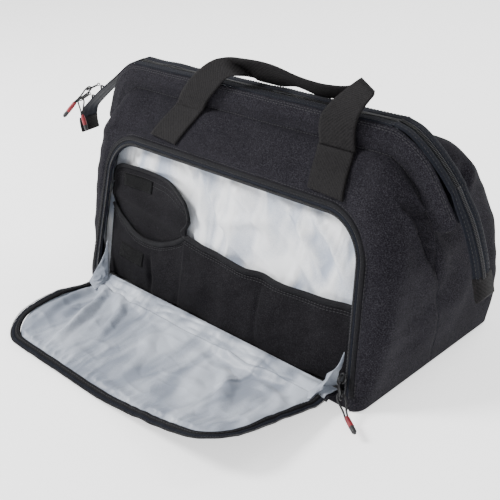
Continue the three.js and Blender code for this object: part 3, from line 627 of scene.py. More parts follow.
def pull(key):
    centre, _, out, rise, _ = SLIDERS[key]
    pin = centre + out * rise
    tab_in, tab_out, cord_end, grip_end = [pin + vec(*p) for p in PULLS[key]]
    body = f"pull_{key}"
    # The tab: a flat tapered plate with rolled edges, and an eye at its far end.
    run = unit(tab_out - tab_in)
    side = unit(np.cross(run, vec(0, 0, 1) if key != "c" else vec(1, 0, 0)))
    long = np.linalg.norm(tab_out - tab_in)
    steps = np.linspace(0, 1, 9)
    line = tab_in + run * (steps * (long - 3.2))[:, None]
    half = 2.1 + 0.7 * np.sin(np.pi * steps)
    bar = [(1, 0), (0.8, 0.7), (-0.8, 0.7), (-1, 0), (-0.8, -0.7), (0.8, -0.7)]
    sections = np.array([[(h * sx, 0.9 * sy) for sx, sy in bar] for h in half])
    tab = sweep(f"tab_{key}", line, sections, DARK_METAL, side)
    eye_at = tab_in + run * (long - 1.6)
    ring_turn = np.linspace(0, 2 * np.pi, 21)
    ring = eye_at + (run[None] * np.cos(ring_turn)[:, None] + side[None] * np.sin(ring_turn)[:, None]) * 2.6
    eye = round_bar(f"eye_{key}", ring, np.full(len(ring), 0.8), DARK_METAL, 8)
    hook_turn = np.linspace(0.2, 2 * np.pi - 0.2, 17)
    up = np.cross(run, side)
    circle = run[None] * np.cos(hook_turn)[:, None] + up[None] * np.sin(hook_turn)[:, None]
    hook = tab_in - run + circle * 1.7
    hook_ring = round_bar(f"hook_{key}", hook, np.full(len(hook), 0.65), DARK_METAL, 8)
    tab = settle(join(f"pull_tab_{key}_metal", tab, eye, hook_ring), "slider_metal", f"pull_tab_{key}")
    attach(tab, body)
    # The cord: from the grip's mouth to the eye, round it and back.
    toward = unit(cord_end - eye_at)
    spread_dir = unit(np.cross(toward, np.cross(toward, vec(0.2, 1, 0.1)) + vec(0, 0, 0.01)))
    spread_dir = unit(spread_dir - (spread_dir @ toward) * toward)
    sag = vec(0, 0, -1.0) if key != "c" else vec(0, 0, -0.2)
    reach = np.linalg.norm(cord_end - eye_at)
    first = [cord_end + spread_dir * 1.3 + toward * 2]
    for share, wide in ((0.75, 1.6), (0.5, 2.6), (0.3, 3.6), (0.12, 4.2)):
        dip = sag * math.sin(math.pi * share) * 1.2
        first.append(eye_at + toward * reach * share + spread_dir * wide + dip)
    turn_back = [eye_at - toward * 2.6 + spread_dir * 3.0, eye_at - toward * 4.2]
    turn_back.append(eye_at - toward * 2.6 - spread_dir * 3.0)
    second = [p - 2 * ((p - eye_at) @ spread_dir) * spread_dir for p in first[::-1]]
    route = spline(first + turn_back + second, 44)
    line = bpy.data.curves.new(f"pull_{key}_cord", "CURVE")
    line.dimensions = "3D"
    line.bevel_depth, line.bevel_resolution, line.use_fill_caps = CORD_DIAMETER / 2, 3, True
    part = line.splines.new("POLY")
    part.points.add(len(route) - 1)
    part.points.foreach_set("co", np.hstack([route * MM, np.ones((len(route), 1))]).ravel())
    part.use_smooth = True
    line.materials.append(CORD)
    cord = bpy.data.objects.new(f"pull_{key}_cord", line)
    bpy.context.scene.collection.objects.link(cord)
    settle(cord, "pull_cord", f"pull_cord_{key}")
    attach(cord, body)
    # The grip: a ribbed sleeve on the cord's two ends, then a black end piece.
    grip_run = unit(grip_end - cord_end)
    grip_long = np.linalg.norm(grip_end - cord_end)
    t = np.linspace(0, 1, 40)
    line = cord_end + grip_run * (t * grip_long)[:, None]
    ribs = 0.14 * np.sin(t * np.pi * 18) * (t > 0.12) * (t < 0.62)
    radii = 2.5 + 0.35 * np.sin(np.pi * t) + ribs
    radii = radii * np.clip(np.minimum(t, 1 - t) * 14, 0.45, 1) ** 0.5
    cut = 25
    red = round_bar(f"grip_{key}", line[: cut + 1], radii[: cut + 1], RED)
    end_radii = radii[cut:].copy()
    end_radii[1:3] *= 0.86
    dark = round_bar(f"grip_end_{key}", line[cut:], end_radii, GRIP_BLACK)
    grip = settle(join(f"pull_{key}_grip", red, dark), "pull_grip", f"pull_grip_{key}")
    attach(grip, body)


for key in PULLS:
    pull(key)


# --- The outer cloth: a front half and a rear half that meet at the middle of each end ---

FRAME_LINE = [(0, 252), (120, 252), (196, 252), (214, 247), (231, 235), (245, 216), (256, 196), (268, 174)]
half_line = spline(FRAME_LINE, 160)
frame_xz = np.vstack([half_line[::-1] * vec(-1, 1), half_line[1:]])
frame_tangent = unit(np.gradient(frame_xz, axis=0))
frame_normal = np.stack([-frame_tangent[:, 1], frame_tangent[:, 0]], -1)


def frame_at(s, offset):
    """A point of the frame's band for s from -1 to 1: offset is measured outwards from its middle."""
    i = (np.asarray(s) + 1) / 2 * (len(frame_xz) - 1)
    read = lambda g: np.stack([np.interp(i, np.arange(len(g)), g[:, k]) for k in (0, 1)], -1)
    return read(frame_xz) + unit(read(frame_normal)) * np.asarray(offset)[..., None]


def wall_point(side, s, h):
    """The body's wall: s from -1 to 1 along it, h from 0 at the base to 1 at its top edge."""
    a = np.abs(s)
    w = np.where(a > FLAT_SHARE, 1 - (a - FLAT_SHARE) / (1 - FLAT_SHARE), 1.0)
    high = np.where(a > FLAT_SHARE, END_TOP + 24 * w**2 + SEAM_TOP * (1 - 0.3 * w), FRONT_TOP)
    z = h * high
    inset = 4 * (1 - np.sqrt(np.maximum(0, 1 - (1 - clamp(z / 4)) ** 2)))
    depth = half_depth(z) if side < 0 else back_depth(z)
    flat = np.stack([s / FLAT_SHARE * flat_half(z), side * (depth - inset), z], -1)
    ends = end_point(side * w, z)
    ends = np.stack([np.sign(s) * (ends[..., 0] - inset), ends[..., 1], z], -1)
    return np.where((a > FLAT_SHARE)[..., None], ends, flat)


def skin(side):
    """The outer cloth's base form: a grid over s and v, and the share of v where the wall meets the yoke."""
    ends = np.linspace(FLAT_SHARE, 1, 30)
    s = np.concatenate([-ends[::-1], np.linspace(-FLAT_SHARE, FLAT_SHARE, 113)[1:-1], ends])
    rows_low = np.concatenate([[0, 0.25, 0.6, 1.0], np.arange(1.5, 50)]) / 49.5
    rows_low[-1] = 1
    low = wall_point(side, s[:, None], rows_low[None, :])
    start = low[:, -1]
    a = np.abs(s)
    offset = np.where(a < 0.86, -14.0, mix(-14.0, -4.0, smooth((a - 0.86) / 0.14)))
    edge = frame_at(s, offset)
    y = side * mix(15.0, 1.0, smooth((a - 0.88) / 0.12))
    end = np.stack([edge[:, 0], y, edge[:, 1]], -1)
    chord = end - start
    crown = (15.0 if side > 0 else 3.0) * (1 - a**4)
    outward = unit(np.stack([0 * s, side * np.abs(chord[:, 2]) + side * 1e-3, np.abs(chord[:, 1])], -1))
    lean_dir = unit(low[:, -1] - low[:, -4])
    m0 = chord * 0.8 + outward * (4 * crown)[:, None] + lean_dir * 8
    m1 = chord * 0.8 - outward * (4 * crown)[:, None]
    t = np.linspace(0, 1, 21)[1:]
    h = [2 * t**3 - 3 * t**2 + 1, t**3 - 2 * t**2 + t, -2 * t**3 + 3 * t**2, t**3 - t**2]
    yoke = sum(g[None, :, None] * q[:, None] for g, q in zip(h, (start, m0, end, m1)))
    return s, np.concatenate([low, yoke], 1), low.shape[1]


def arch_distance(x, z):
    """How far outside the front opening's edge a point of the front lies; negative inside it."""
    half = opening_half(z)
    corner_z = OPENING_TOP - OPENING_CORNER
    centre_x = opening_half(corner_z) - OPENING_CORNER
    in_corner = (z > corner_z) & (np.abs(x) > centre_x)
    round_part = np.hypot(np.abs(x) - centre_x, z - corner_z) - OPENING_CORNER
    straight = np.maximum(np.abs(x) - half, z - OPENING_TOP)
    return np.where(in_corner, round_part, np.maximum(straight, HINGE_Z - z))


# The creases at the two ends: a line, its width, its depth and how much narrower its front side is.
END_CREASES = [
    ([(238, -44, 226), (244, -36, 206), (248, -27, 180), (249, -16, 150), (250, 0, 114)], 10.0, 19.0, 0.42),
    ([(232, -52, 214), (226, -70, 190), (222, -84, 160)], 9.0, 3.5, 1.0),
    ([(241, 24, 190), (241, 44, 205), (237, 62, 219)], 8.0, 9.0, 1.0),
    ([(240, 40, 120), (246, 10, 92), (244, -30, 84)], 16.0, 2.5, 1.0),
    ([(-236, -40, 222), (-244, -34, 204), (-247, -24, 176), (-248, -12, 140)], 9.0, 8.0, 1.0),
    ([(-240, 34, 226), (-244, 50, 200), (-243, 66, 170)], 11.0, 7.0, 1.0),
]
FRONT_CREASES = [([(-225, -58, 205), (-200, -56, 202), (-150, -50, 206)], 7.0, 3.0, 1.0)]
REAR_CREASES = [
    ([(228, 60, 216), (214, 84, 186), (196, 100, 150)], 14.0, 5.0, 1.0),
    ([(-226, 60, 216), (-210, 86, 186), (-190, 104, 150)], 14.0, 5.0, 1.0),
    ([(-90, 116, 60), (-20, 120, 74), (60, 118, 62)], 16.0, 2.5, 1.0),
    ([(30, 104, 168), (90, 106, 160), (150, 100, 172)], 14.0, 3.0, 1.0),
]
soft_field, small_field = field(11, (150, 120, 90)), field(23, (46, 46, 38))


def creases(p, listed):
    """How deep the listed creases are at each point."""
    d = np.zeros(p.shape[:-1])
    for line, width, depth, skew in listed:
        far, where = polyline_distance(p, line)
        taper = np.sin(np.pi * clamp(where * 0.88 + 0.1)) ** 0.7
        line_y = np.interp(where, np.linspace(0, 1, len(line)), np.array(line, float)[:, 1])
        wide = width * mix(1.25, 0.7, where) * np.where(p[..., 1] < line_y, skew, 1.0)
        fold = np.exp(-((far / wide) ** 2)) - 0.3 * np.exp(-(((far - 2 * wide) / wide) ** 2))
        d = d + depth * taper * fold
    return d


def drawn_in(z):
    """How far the upper middle of each end is drawn in under the frame's tips."""
    return 5.5 * np.exp(-(((z - 168) / 34) ** 2))


def sculpt(side, s, p, joint):
    """How far the cloth stands out from its base form, in millimetres: sags, folds and creases."""
    x, y, z = p[..., 0], p[..., 1], p[..., 2]
    d = (soft_field(p) * 1.5 + small_field(p) * 0.5) * smooth((z - 8) / 40)
    a = np.abs(s)[:, None] * np.ones_like(x)
    if side < 0:
        near = arch_distance(x, z)
        d = d * np.where(a < FLAT_SHARE, smooth((near - 6) / 26), 1)
        # The yoke hangs a little slack between the handle's feet and towards the ends.
        d = d - 2.5 * np.exp(-(((x - 25) / 55) ** 2)) * smooth((z - 200) / 12) * smooth((238 - z) / 12)
    else:
        shoulder = (np.abs(x) - 238) ** 2 + (y - 66) ** 2 + (z - 212) ** 2
        d = d + 12 * np.exp(-shoulder / 34**2)
    d = d - creases(p, END_CREASES + (FRONT_CREASES if side < 0 else REAR_CREASES))
    d = d - drawn_in(z) * smooth((a - 0.84) / 0.14)
    # A shallow groove where the wall meets the yoke.
    rows = np.arange(p.shape[1])[None, :] - (joint - 1)
    d = d - (0.6 if side > 0 else 0.25) * np.exp(-((rows / 1.2) ** 2)) * smooth((0.7 - a) / 0.05)
    last = smooth((p.shape[1] - 1 - np.arange(p.shape[1])) / 4)[None, :]
    return d * last


def outer_cloth(side, name):
    s, p, joint = skin(side)
    n = grid_normals(p)
    if (n[:, :, 1] * side).mean() < 0:
        n = -n
    for k in (0, -1):
        n[k, :, 1] = 0
    n = unit(n)
    q = p + n * sculpt(side, s, p, joint)[..., None]
    for k in (0, -1):
        q[k, :, 1] = np.where(np.arange(q.shape[1]) < joint, 0, q[k, :, 1])
    n = grid_normals(q)
    if (n[:, :, 1] * side).mean() < 0:
        n = -n
    n[[0, -1], :, 1] = 0
    n = unit(n)
    faces = grid_faces(*q.shape[:2])
    outward = side if np.cross(q[60, 10] - q[59, 10], q[59, 11] - q[59, 10])[1] > 0 else -side
    if outward < 0:
        faces = faces[:, ::-1]
    uv = grid_uv(q)
    flat_q, flat_n = q.reshape(-1, 3), n.reshape(-1, 3)
    if side < 0:
        wall = (np.abs(s) < FLAT_SHARE + 0.01)[:, None] & (np.arange(q.shape[1]) < joint)[None, :]
        near = np.where(wall, arch_distance(p[..., 0], p[..., 2]), 99).reshape(-1)
        keep = near[faces].mean(1) > 0
        faces = faces[keep]
        edge = np.abs(near) < 3.4
        flat_q = flat_q.copy()
        step = 0.5
        for _ in range(3):
            x, z = flat_q[:, 0], flat_q[:, 2]
            here = arch_distance(x, z)
            gx = (arch_distance(x + step, z) - here) / step
            gz = (arch_distance(x, z + step) - here) / step
            slip = here / np.maximum(gx**2 + gz**2, 0.2)
            flat_q[edge, 0] -= (slip * gx)[edge]
            flat_q[edge, 2] -= (slip * gz)[edge]
        flat_q[edge, 1] = on_front(flat_q[edge, 2])
    pts, fs = thicken(flat_q, flat_n, faces, 1.6)
    used = np.unique(np.concatenate([np.array(f) for f in fs]))
    index = -np.ones(len(pts), int)
    index[used] = np.arange(len(used))
    fs = [tuple(index[list(f)]) for f in fs]
    uvs = np.vstack([uv.reshape(-1, 2)] * 2)[used]
    obj = mesh(name, pts[used], fs, CANVAS, uvs, 2 * len(faces))
    return obj, s, Surface(q, (0, side, 0.0)), joint


outer_front, front_s, front_skin, JOINT = outer_cloth(-1, "outer_front")
outer_rear, rear_s, rear_skin, _ = outer_cloth(1, "outer_rear")
settle(outer_front, "canvas", "front_panel", "front_yoke", "left_end_panel")
settle(outer_rear, "canvas", "rear_panel", "rear_yoke", "right_end_panel")


def bend(obj):
    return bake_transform(obj)


bend(outer_front)
bend(outer_rear)


def column(s_values, s):
    """The place of a share s in a skin's columns, from 0 to 1."""
    return np.interp(s, s_values, np.linspace(0, 1, len(s_values)))


def skin_row(surface, s_values, s, v, lift):
    line, normal = surface.at(column(s_values, s), v, lift)
    return line, unit(np.cross(np.gradient(line, axis=0), normal))


ROWS = front_skin.p.shape[1] - 1
along_yoke = np.linspace(-0.66, 0.66, 180)
rows = [skin_row(rear_skin, rear_s, along_yoke, (JOINT + k) / ROWS, 0.1) for k in (0.6, 1.8)]
bend(settle(stitches("yoke_stitches_rear", rows, DARK_THREAD), "canvas"))

# The base: a flat cloth bottom.


def round_box(half_x, half_y, corner, samples=10, near=None):
    """A rectangle with round corners, from its right end round the back; near is the front half's depth."""
    near = half_y if near is None else near
    pts = []
    for k, (cx, cy) in enumerate([(1, 1), (-1, 1), (-1, -1), (1, -1)]):
        for t in np.linspace(0, np.pi / 2, samples):
            depth = half_y if cy > 0 else near
            angle = t + k * np.pi / 2
            x = cx * (half_x - corner) + corner * math.cos(angle)
            pts.append((x, cy * (depth - corner) + corner * math.sin(angle)))
    return np.array(pts)


def filled(name, outline, z, thickness, material, inner=14, ripple=None):
    """A flat closed sheet inside an outline, made of rings that shrink to its middle line."""
    middle = outline * vec(0.55, 0.0) + vec(0, outline[:, 1].mean())
    shares = np.linspace(0, 1, inner)
    flat = mix(outline[None], middle[None], shares[:, None, None])
    p = np.concatenate([flat, np.full(flat.shape[:2] + (1,), z)], -1)
    if ripple is not None:
        p[..., 2] += ripple(p) * smooth(shares * 8)[:, None]
    n, m = p.shape[:2]
    i, j = np.meshgrid(np.arange(n - 1), np.arange(m), indexing="ij")
    a, b = i * m + j, i * m + (j + 1) % m
    faces = np.stack([a, b, b + m, a + m], -1).reshape(-1, 4)
    normals = np.broadcast_to(vec(0, 0, 1), (n * m, 3))
    pts, fs = thicken(p.reshape(-1, 3), normals, faces, thickness)
    return oriented(mesh(name, pts, fs, material, pts[:, :2] * MM))


base = filled("base_cloth", round_box(233, 114, 12), 2.6, 2.2, CANVAS)
settle(base, "canvas", "base_fabric")
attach(base, "shell")
floor_ripple = field(5, (60, 60, 60))
floor_outline = round_box(227, 108.5, 8, near=91)
floor_cloth = filled(
    "floor_cloth", floor_outline, 8.3, 0.9, SATIN, 30, lambda p: -0.15 * np.abs(floor_ripple(p))
)
settle(floor_cloth, "satin_lining", "floor_lining")
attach(floor_cloth, "shell")

# The main compartment's lining, round the left end, the back and the right end.


LINING_GAP = 5.2  # from the outside of a wall to its lining


def main_lining():
    u = np.linspace(0, 1, 260)
    z = np.linspace(9.4, 169, 56)
    uu, zz = np.meshgrid(u, z, indexing="ij")
    share = 0.22
    zz = zz * (1 - 0.08 * smooth(1 - np.minimum(uu, 1 - uu) / share))
    left = end_point(mix(-0.72, 1, clamp(uu / share)), zz, LINING_GAP) * vec(-1, 1, 1)
    right_side = end_point(mix(1, -0.72, clamp((uu - 1 + share) / share)), zz, LINING_GAP)
    for wall, sign in ((left, -1), (right_side, 1)):
        drawn = drawn_in(zz) * smooth((46 - np.abs(wall[..., 1])) / 40)
        folded = np.maximum(0, creases(wall + vec(LINING_GAP * sign, 0, 0), END_CREASES)) * 1.1
        wall[..., 0] -= sign * (folded + drawn)
    across = mix(-1, 1, clamp((uu - share) / (1 - 2 * share))) * flat_half(zz)
    rear = np.stack([across, back_depth(zz) - LINING_GAP, zz], -1)
    p = np.where((uu < share)[..., None], left, np.where((uu > 1 - share)[..., None], right_side, rear))
    n = grid_normals(p)
    inward = np.sign((n * (vec(0, 0, 90) - p)).sum(-1).mean())
    folds = np.abs(field(41, (70, 70, 150))(p)) * 1.6 + field(42, (25, 25, 60))(p) * 0.4
    gather = smooth(zz / 40) * smooth((172 - zz) / 12)
    return p + n * inward * (folds * gather)[..., None]


lining = cloth("compartment_lining", main_lining(), 0.7, SATIN)
settle(lining, "satin_lining", "main_lining")
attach(lining, "shell")

# --- The mouth frames: a stitched sleeve on each rod ---


def sleeve(side, label):
    """The outer side of a frame's sleeve and its facing, both from one line, with rounded tips."""
    count = len(frame_xz)
    run = np.concatenate([[0], np.cumsum(np.linalg.norm(np.diff(frame_xz, axis=0), axis=1))])
    to_tip = np.minimum(run, run[-1] - run)
    half = CASING_HALF * clamp(1 - (1 - clamp(to_tip / 16)) ** 2.6) ** 0.5 + 1.2
    half = np.minimum(half, CASING_HALF)
    t = np.linspace(-1, 1, 25)
    centre = np.stack([frame_xz[:, 0], np.full(count, side * FRAME_Y), frame_xz[:, 1]], -1)
    out = np.stack([frame_normal[:, 0], np.zeros(count), frame_normal[:, 1]], -1)
    wave = field(31 + side, (60, 20, 60))
    pieces = []
    for towards, height, trim in ((side, 3.9, 0), (-side, 2.4, 3.5)):
        reach = np.maximum(half - trim, 0.5)
        p = centre[:, None] + out[:, None] * (t[None, :, None] * reach[:, None, None])
        rod = 1.1 * np.exp(-((t * 3.4) ** 2))
        puff = (height - 1.1) * (1 - np.abs(t) ** 6) + rod
        # The outer side's lower edge laps over the yoke.
        lapped = (height - 1.1) * np.abs(t) ** 6 * (t < 0) * (trim == 0)
        lift = puff[None, :] + lapped[None, :] * smooth((half - 9) / 6)[:, None]
        for groove in (0.84, 0.7, -0.86):
            lift = lift - 0.5 * np.exp(-(((t - groove) / 0.05) ** 2))
        lift = lift * smooth(half / 9)[:, None] + 0.25 * wave(p)
        p[..., 1] += towards * lift
        pieces.append(p)
    u, v = np.meshgrid(run, t * CASING_HALF, indexing="ij")
    uv = np.stack([u, v], -1) * MM
    outer = cloth(f"{label}_sleeve", pieces[0], 1.3, CANVAS, (0, side, 0), uv=uv)
    facing = cloth(f"{label}_sleeve_facing", pieces[1], 1.0, SATIN, (0, -side, 0), uv=uv)
    facing.data.materials.append(TAPE)
    for face in facing.data.polygons:
        face.material_index = int(abs(face.center.x) > 0.19)
    settle(outer, "canvas", f"{label}_casing")
    settle(facing, "satin_lining", f"{label}_casing_facing")
    body = f"{label}_frame"
    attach(outer, body)
    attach(facing, body)
    surface = Surface(pieces[0], (0, side, 0))
    rows = []
    for v in (0.92, 0.85, 0.07):
        line, normal = surface.at(np.linspace(0.02, 0.98, 400), v, 0.15)
        rows.append((line, np.cross(np.gradient(line, axis=0), normal)))
    row = settle(stitches(f"{label}_sleeve_stitches", rows, DARK_THREAD), "canvas")
    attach(row, body)


sleeve(-1, "front")
sleeve(1, "rear")
for rod in ("front_frame_rod", "rear_frame_rod"):
    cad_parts[rod].data.materials.clear()
    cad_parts[rod].data.materials.append(DARK_METAL)
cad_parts["base_board"].data.materials.clear()
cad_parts["base_board"].data.materials.append(BOARD)

# --- The front compartment: its satin back, pockets, and the opening's binding and zip ---


def leaning_grid(x, z, depth):
    """Points on a plane parallel to the bag's front, depth behind it."""
    return np.stack([x + 0 * z, on_front(z) + depth + 0 * x, z + 0 * x], -1)


def divider():
    u = np.linspace(-1, 1, 220)[:, None]
    z = np.linspace(9, 190, 96)[None, :]
    x = u * (flat_half(z) - 3)
    p = leaning_grid(x, z, RECESS)
    slant = field(51, (52, 40, 70))
    shear = p.copy()
    shear[..., 0] += 0.75 * p[..., 2]
    broad = slant(shear) * 1.8
    ridges = (1 - np.abs(field(52, (58, 34, 120))(shear))) * 2.6
    d = broad + ridges
    folds = [
        ([(-190, 0, 172), (-150, 0, 150), (-118, 0, 120)], 5.0, 2.6),
        ([(-60, 0, 182), (-30, 0, 150), (10, 0, 112)], 7.0, 3.2),
        ([(-20, 0, 186), (40, 0, 150), (92, 0, 104)], 8.0, 3.4),
        ([(60, 0, 184), (110, 0, 158), (150, 0, 118)], 6.0, 3.0),
        ([(120, 0, 180), (158, 0, 150), (186, 0, 112)], 6.0, 2.6),
        ([(-40, 0, 120), (20, 0, 132), (80, 0, 150)], 9.0, 2.2),
    ]
    flat = p * vec(1, 0, 1)
    for line, width, depth in folds:
        far, where = polyline_distance(flat, line)
        ridge = np.exp(-((far / (0.8 * width)) ** 2))
        d = d + 1.9 * depth * ridge * swell(where)
    inside = smooth(-arch_distance(x + 0 * z, z + 0 * x) / 22) * smooth((z - 60) / 40)
    behind_tongue = smooth((-44 - x) / 14) * smooth((158 - z) / 10)
    inside = inside * (1 - 0.9 * behind_tongue)
    p[..., 1] -= d * inside
    return p


compartment = cloth("compartment_back_satin", divider(), 0.8, SATIN, (0, -1, 0))
settle(compartment, "satin_lining", "compartment_back")
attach(compartment, "shell")


def left_top(u):
    return 104 - 27 * np.sin(np.pi * u) ** 0.75 - 6 * u


def wide_top(u):
    return 99 - 9.5 * np.sin(np.pi * u) ** 0.7 + 1.5 * np.exp(-(((u - 0.48) / 0.06) ** 2))


def pocket(name, x0, x1, rule, stand_off, crown, seed, tucks):
    """A pocket's front with its bound and stitched top edge."""
    u = np.linspace(0, 1, 90)
    v = np.linspace(0, 1, 50)
    uu, vv = np.meshgrid(u, v, indexing="ij")
    x = mix(x0, x1, uu)
    z = mix(11.5, rule(uu), vv)
    bulge = crown * np.sin(np.pi * uu) ** 0.8 * np.sin(np.pi * np.minimum(1, vv * 0.8 + 0.12))
    p = leaning_grid(x, z, RECESS - stand_off)
    ripple = field(seed, (60, 60, 50))(p) * 0.9 + field(seed + 1, (22, 22, 20))(p) * 0.25
    edge = smooth(uu * 12) * smooth((1 - uu) * 12)
    p[..., 1] -= bulge + ripple * edge
    for line, width, depth in tucks:
        far, where = polyline_distance(p * vec(1, 0, 1), line)
        p[..., 1] += depth * np.exp(-((far / width) ** 2)) * swell(where)
    panel = cloth(name, p, 1.3, POCKET, (0, -1, 0))
    surface = Surface(p, (0, -1, 0))
    line, _ = surface.at(u, 1.0, 0.0)
    down = unit(np.gradient(p, axis=1)[:, -1])
    bound = sweep(
        name + "_binding",
        line - down * 2.2,
        [(3.2, 0.3), (2.9, 1.1), (0, 1.5), (-2.8, 1.2), (-3.4, 0.4), (-3.2, -1.2), (0, -2.0), (3.0, -1.4)],
        BINDING,
        across=down,
    )
    rows = [(surface.at(u, 1 - k / 90, 1.0 if k < 5 else 0.25)[0], down) for k in (4.2, 8.0, 11.0)]
    sewn = stitches(name + "_stitches", rows, DARK_THREAD)
    return panel, bound, sewn, surface


left = pocket(
    "left_pocket", -204, -60, left_top, 6, 7, 61, [([(-118, 0, 62), (-112, 0, 36), (-114, 0, 12)], 3.2, 4.5)]
)
wide = pocket(
    "wide_pocket",
    -63,
    208,
    wide_top,
    7,
    3.5,
    66,
    [([(74, 0, 86), (70, 0, 50), (74, 0, 14)], 2.6, 2.6), ([(-20, 0, 60), (0, 0, 30)], 8.0, 1.5)],
)
for (panel, bound, sewn, _), label in ((left, "left"), (wide, "wide")):
    settle(panel, "canvas", f"{label}_pocket_panel")
    settle(bound, "webbing", f"{label}_pocket_hem")
    settle(sewn, "canvas")
    for part in (panel, bound, sewn):
        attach(part, "shell")

# The pocket's flap stands open against the satin: a rounded tongue with a bound edge.
FLAP_EDGE = [
    (-203, 113), (-206, 128), (-204, 143), (-196, 151), (-178, 153), (-140, 153), (-104, 152), (-80, 147),
    (-62, 138), (-56, 126), (-57, 112), (-66, 101),
]


def tongue():
    edge = spline([(x, 0, z) for x, z in FLAP_EDGE], 120)
    foot_z = mix(60, 54, clamp((edge[:, 0] + 203) / 137))
    foot = np.stack([clamp((edge[:, 0] + 206) / 150) * 137 - 203, 0 * foot_z, foot_z], -1)
    v = np.linspace(0, 1, 56)
    p = mix(foot[:, None], edge[:, None], v[None, :, None])
    z = p[..., 2]
    fold_z = mix(114, 99, clamp((p[..., 0] + 203) / 140))
    stand = mix(3.0, 6.4, smooth((z - fold_z + 16) / 18)) + 2.2 * np.exp(-(((z - fold_z - 4) / 7) ** 2))
    curl = 5.5 * smooth((p[..., 0] + 110) / 50) * smooth((z - 104) / 30)
    ripple = field(71, (60, 60, 40))(p) * 1.0
    p[..., 1] = on_front(z) + RECESS - stand - curl - ripple * smooth((z - fold_z) / 12)
    return p


tongue_grid = tongue()
tongue_surface = Surface(tongue_grid, (0, -1, 0))
tongue_cloth = cloth("pocket_tongue", tongue_grid, 1.5, POCKET, (0, -1, 0))
line, normal = tongue_surface.at(np.linspace(0, 1, 200), 0.985, 0.0)
across = unit(np.cross(np.gradient(line, axis=0), normal))
profile = [(2.4, 0.2), (2.0, 1.0), (0, 1.2), (-2.2, 0.9), (-2.6, 0.1), (-2.2, -1.6), (0, -1.9), (2.0, -1.5)]
tongue_bound = sweep("pocket_tongue_binding", line, profile, BINDING, across=across)
rows = [(tongue_surface.at(np.linspace(0, 1, 200), v, 0.3)[0], across) for v in (0.9, 0.84)]
tongue_sewn = stitches("pocket_tongue_stitches", rows, DARK_THREAD)


BRISTLES = 700  # on each patch


def patch(name, corners, depth, surface_y, material):
    """A hook-and-loop patch: a closed pad with many short bristles on its face."""
    (x0, x1), (z0, z1) = corners
    x, z = np.linspace(x0, x1, 20)[:, None], np.linspace(z0, z1, 9)[None, :]
    p = np.stack([x + 0 * z, surface_y(x + 0 * z, z + 0 * x) - depth, z + 0 * x], -1)
    pad = cloth(name, p, 0.9, material, (0, -1, 0))
    rng = np.random.default_rng(int(abs(x0)))
    picked = p.reshape(-1, 3)[rng.integers(0, p.size // 3, BRISTLES)]
    places = picked + rng.uniform(-1, 1, (BRISTLES, 3)) * vec(1.3, 0.1, 0.9)
    places = np.clip(places, vec(x0, -999, z0) + 0.4, vec(x1, 999, z1) - 0.4)
    lean_way = rng.normal(size=(BRISTLES, 3)) * 0.5 + vec(0, -1, 0)
    side = np.tile(vec(1, 0, 0), (BRISTLES, 1))
    pile = scatter(name + "_pile", capsule(1.4, 0.3, 0.3, 3), places, lean_way, side, material)
    return join(name, pad, pile)


def surface_depth(surface):
    """The Y of a surface over X and Z, from its nearest sample."""
    flat = surface.p.reshape(-1, 3)

    def read(x, z):
        far = (flat[:, 0] - x[..., None]) ** 2 + (flat[:, 2] - z[..., None]) ** 2
        return flat[far.argmin(-1), 1]

    return read


hook = patch("hook_patch_pile", ((-178, -126), (43, 59)), 0.9, surface_depth(left[3]), VELCRO)
settle(hook, "velcro", "hook_patch")
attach(hook, "shell")
loop = patch("loop_patch_pile", ((-186, -132), (128, 143)), 0.9, surface_depth(tongue_surface), VELCRO)
settle(loop, "velcro", "loop_patch")
settle(tongue_cloth, "canvas", "pocket_flap")
settle(tongue_bound, "webbing")
settle(tongue_sewn, "canvas")
for part in (tongue_cloth, tongue_bound, tongue_sewn, loop):
    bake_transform(part)


def arch(offset, samples=420, low=HINGE_Z):
    """The opening's edge grown by an offset, from its lower right end over the top, on the bag's front."""
    corner_z = OPENING_TOP - OPENING_CORNER
    straight = [(opening_half(z) + offset, z) for z in np.linspace(low, corner_z, 14)]
    centre = opening_half(corner_z) - OPENING_CORNER
    radius = OPENING_CORNER + offset
    turns = np.linspace(0, np.pi / 2, 22)[1:]
    bow = [(centre + radius * math.cos(t), corner_z + radius * math.sin(t)) for t in turns]
    side = np.array(straight + bow)
    xz = np.vstack([side, side[::-1] * vec(-1, 1)])
    line = np.stack([xz[:, 0], on_front(xz[:, 1]), xz[:, 1]], -1)
    return even(line, samples)


FRONT_OUT = unit(vec(0, -1, 0.29))


def cushion(half, height, under=0.4):
    """The section of a soft band, whose up direction is the negative one: flat below and crowned above."""
    over = [(half * x, -height * (1 - abs(x) ** 3) - 0.1) for x in np.linspace(-1, 1, 9)]
    return over + [(half, under), (-half, under)]


def band(name, middle, half, height, material, out):
    """A narrow sewn band along a line on a face that looks out."""
    across = np.cross(unit(np.gradient(middle, axis=0)), out)
    return sweep(name, middle, cushion(half, height), material, across)


TOOTH = capsule(2.7, 0.95, 1.3, 6)


def coil(name, line, out, material, pitch=1.55):
    """A zip's coil: one rounded tooth after another across the line."""
    places, along = row_places(line, pitch)
    out = np.broadcast_to(np.asarray(out, float), line.shape)
    up = unit(even(out, len(places)))
    return scatter(name, TOOTH, places, np.cross(along, up), along, material)


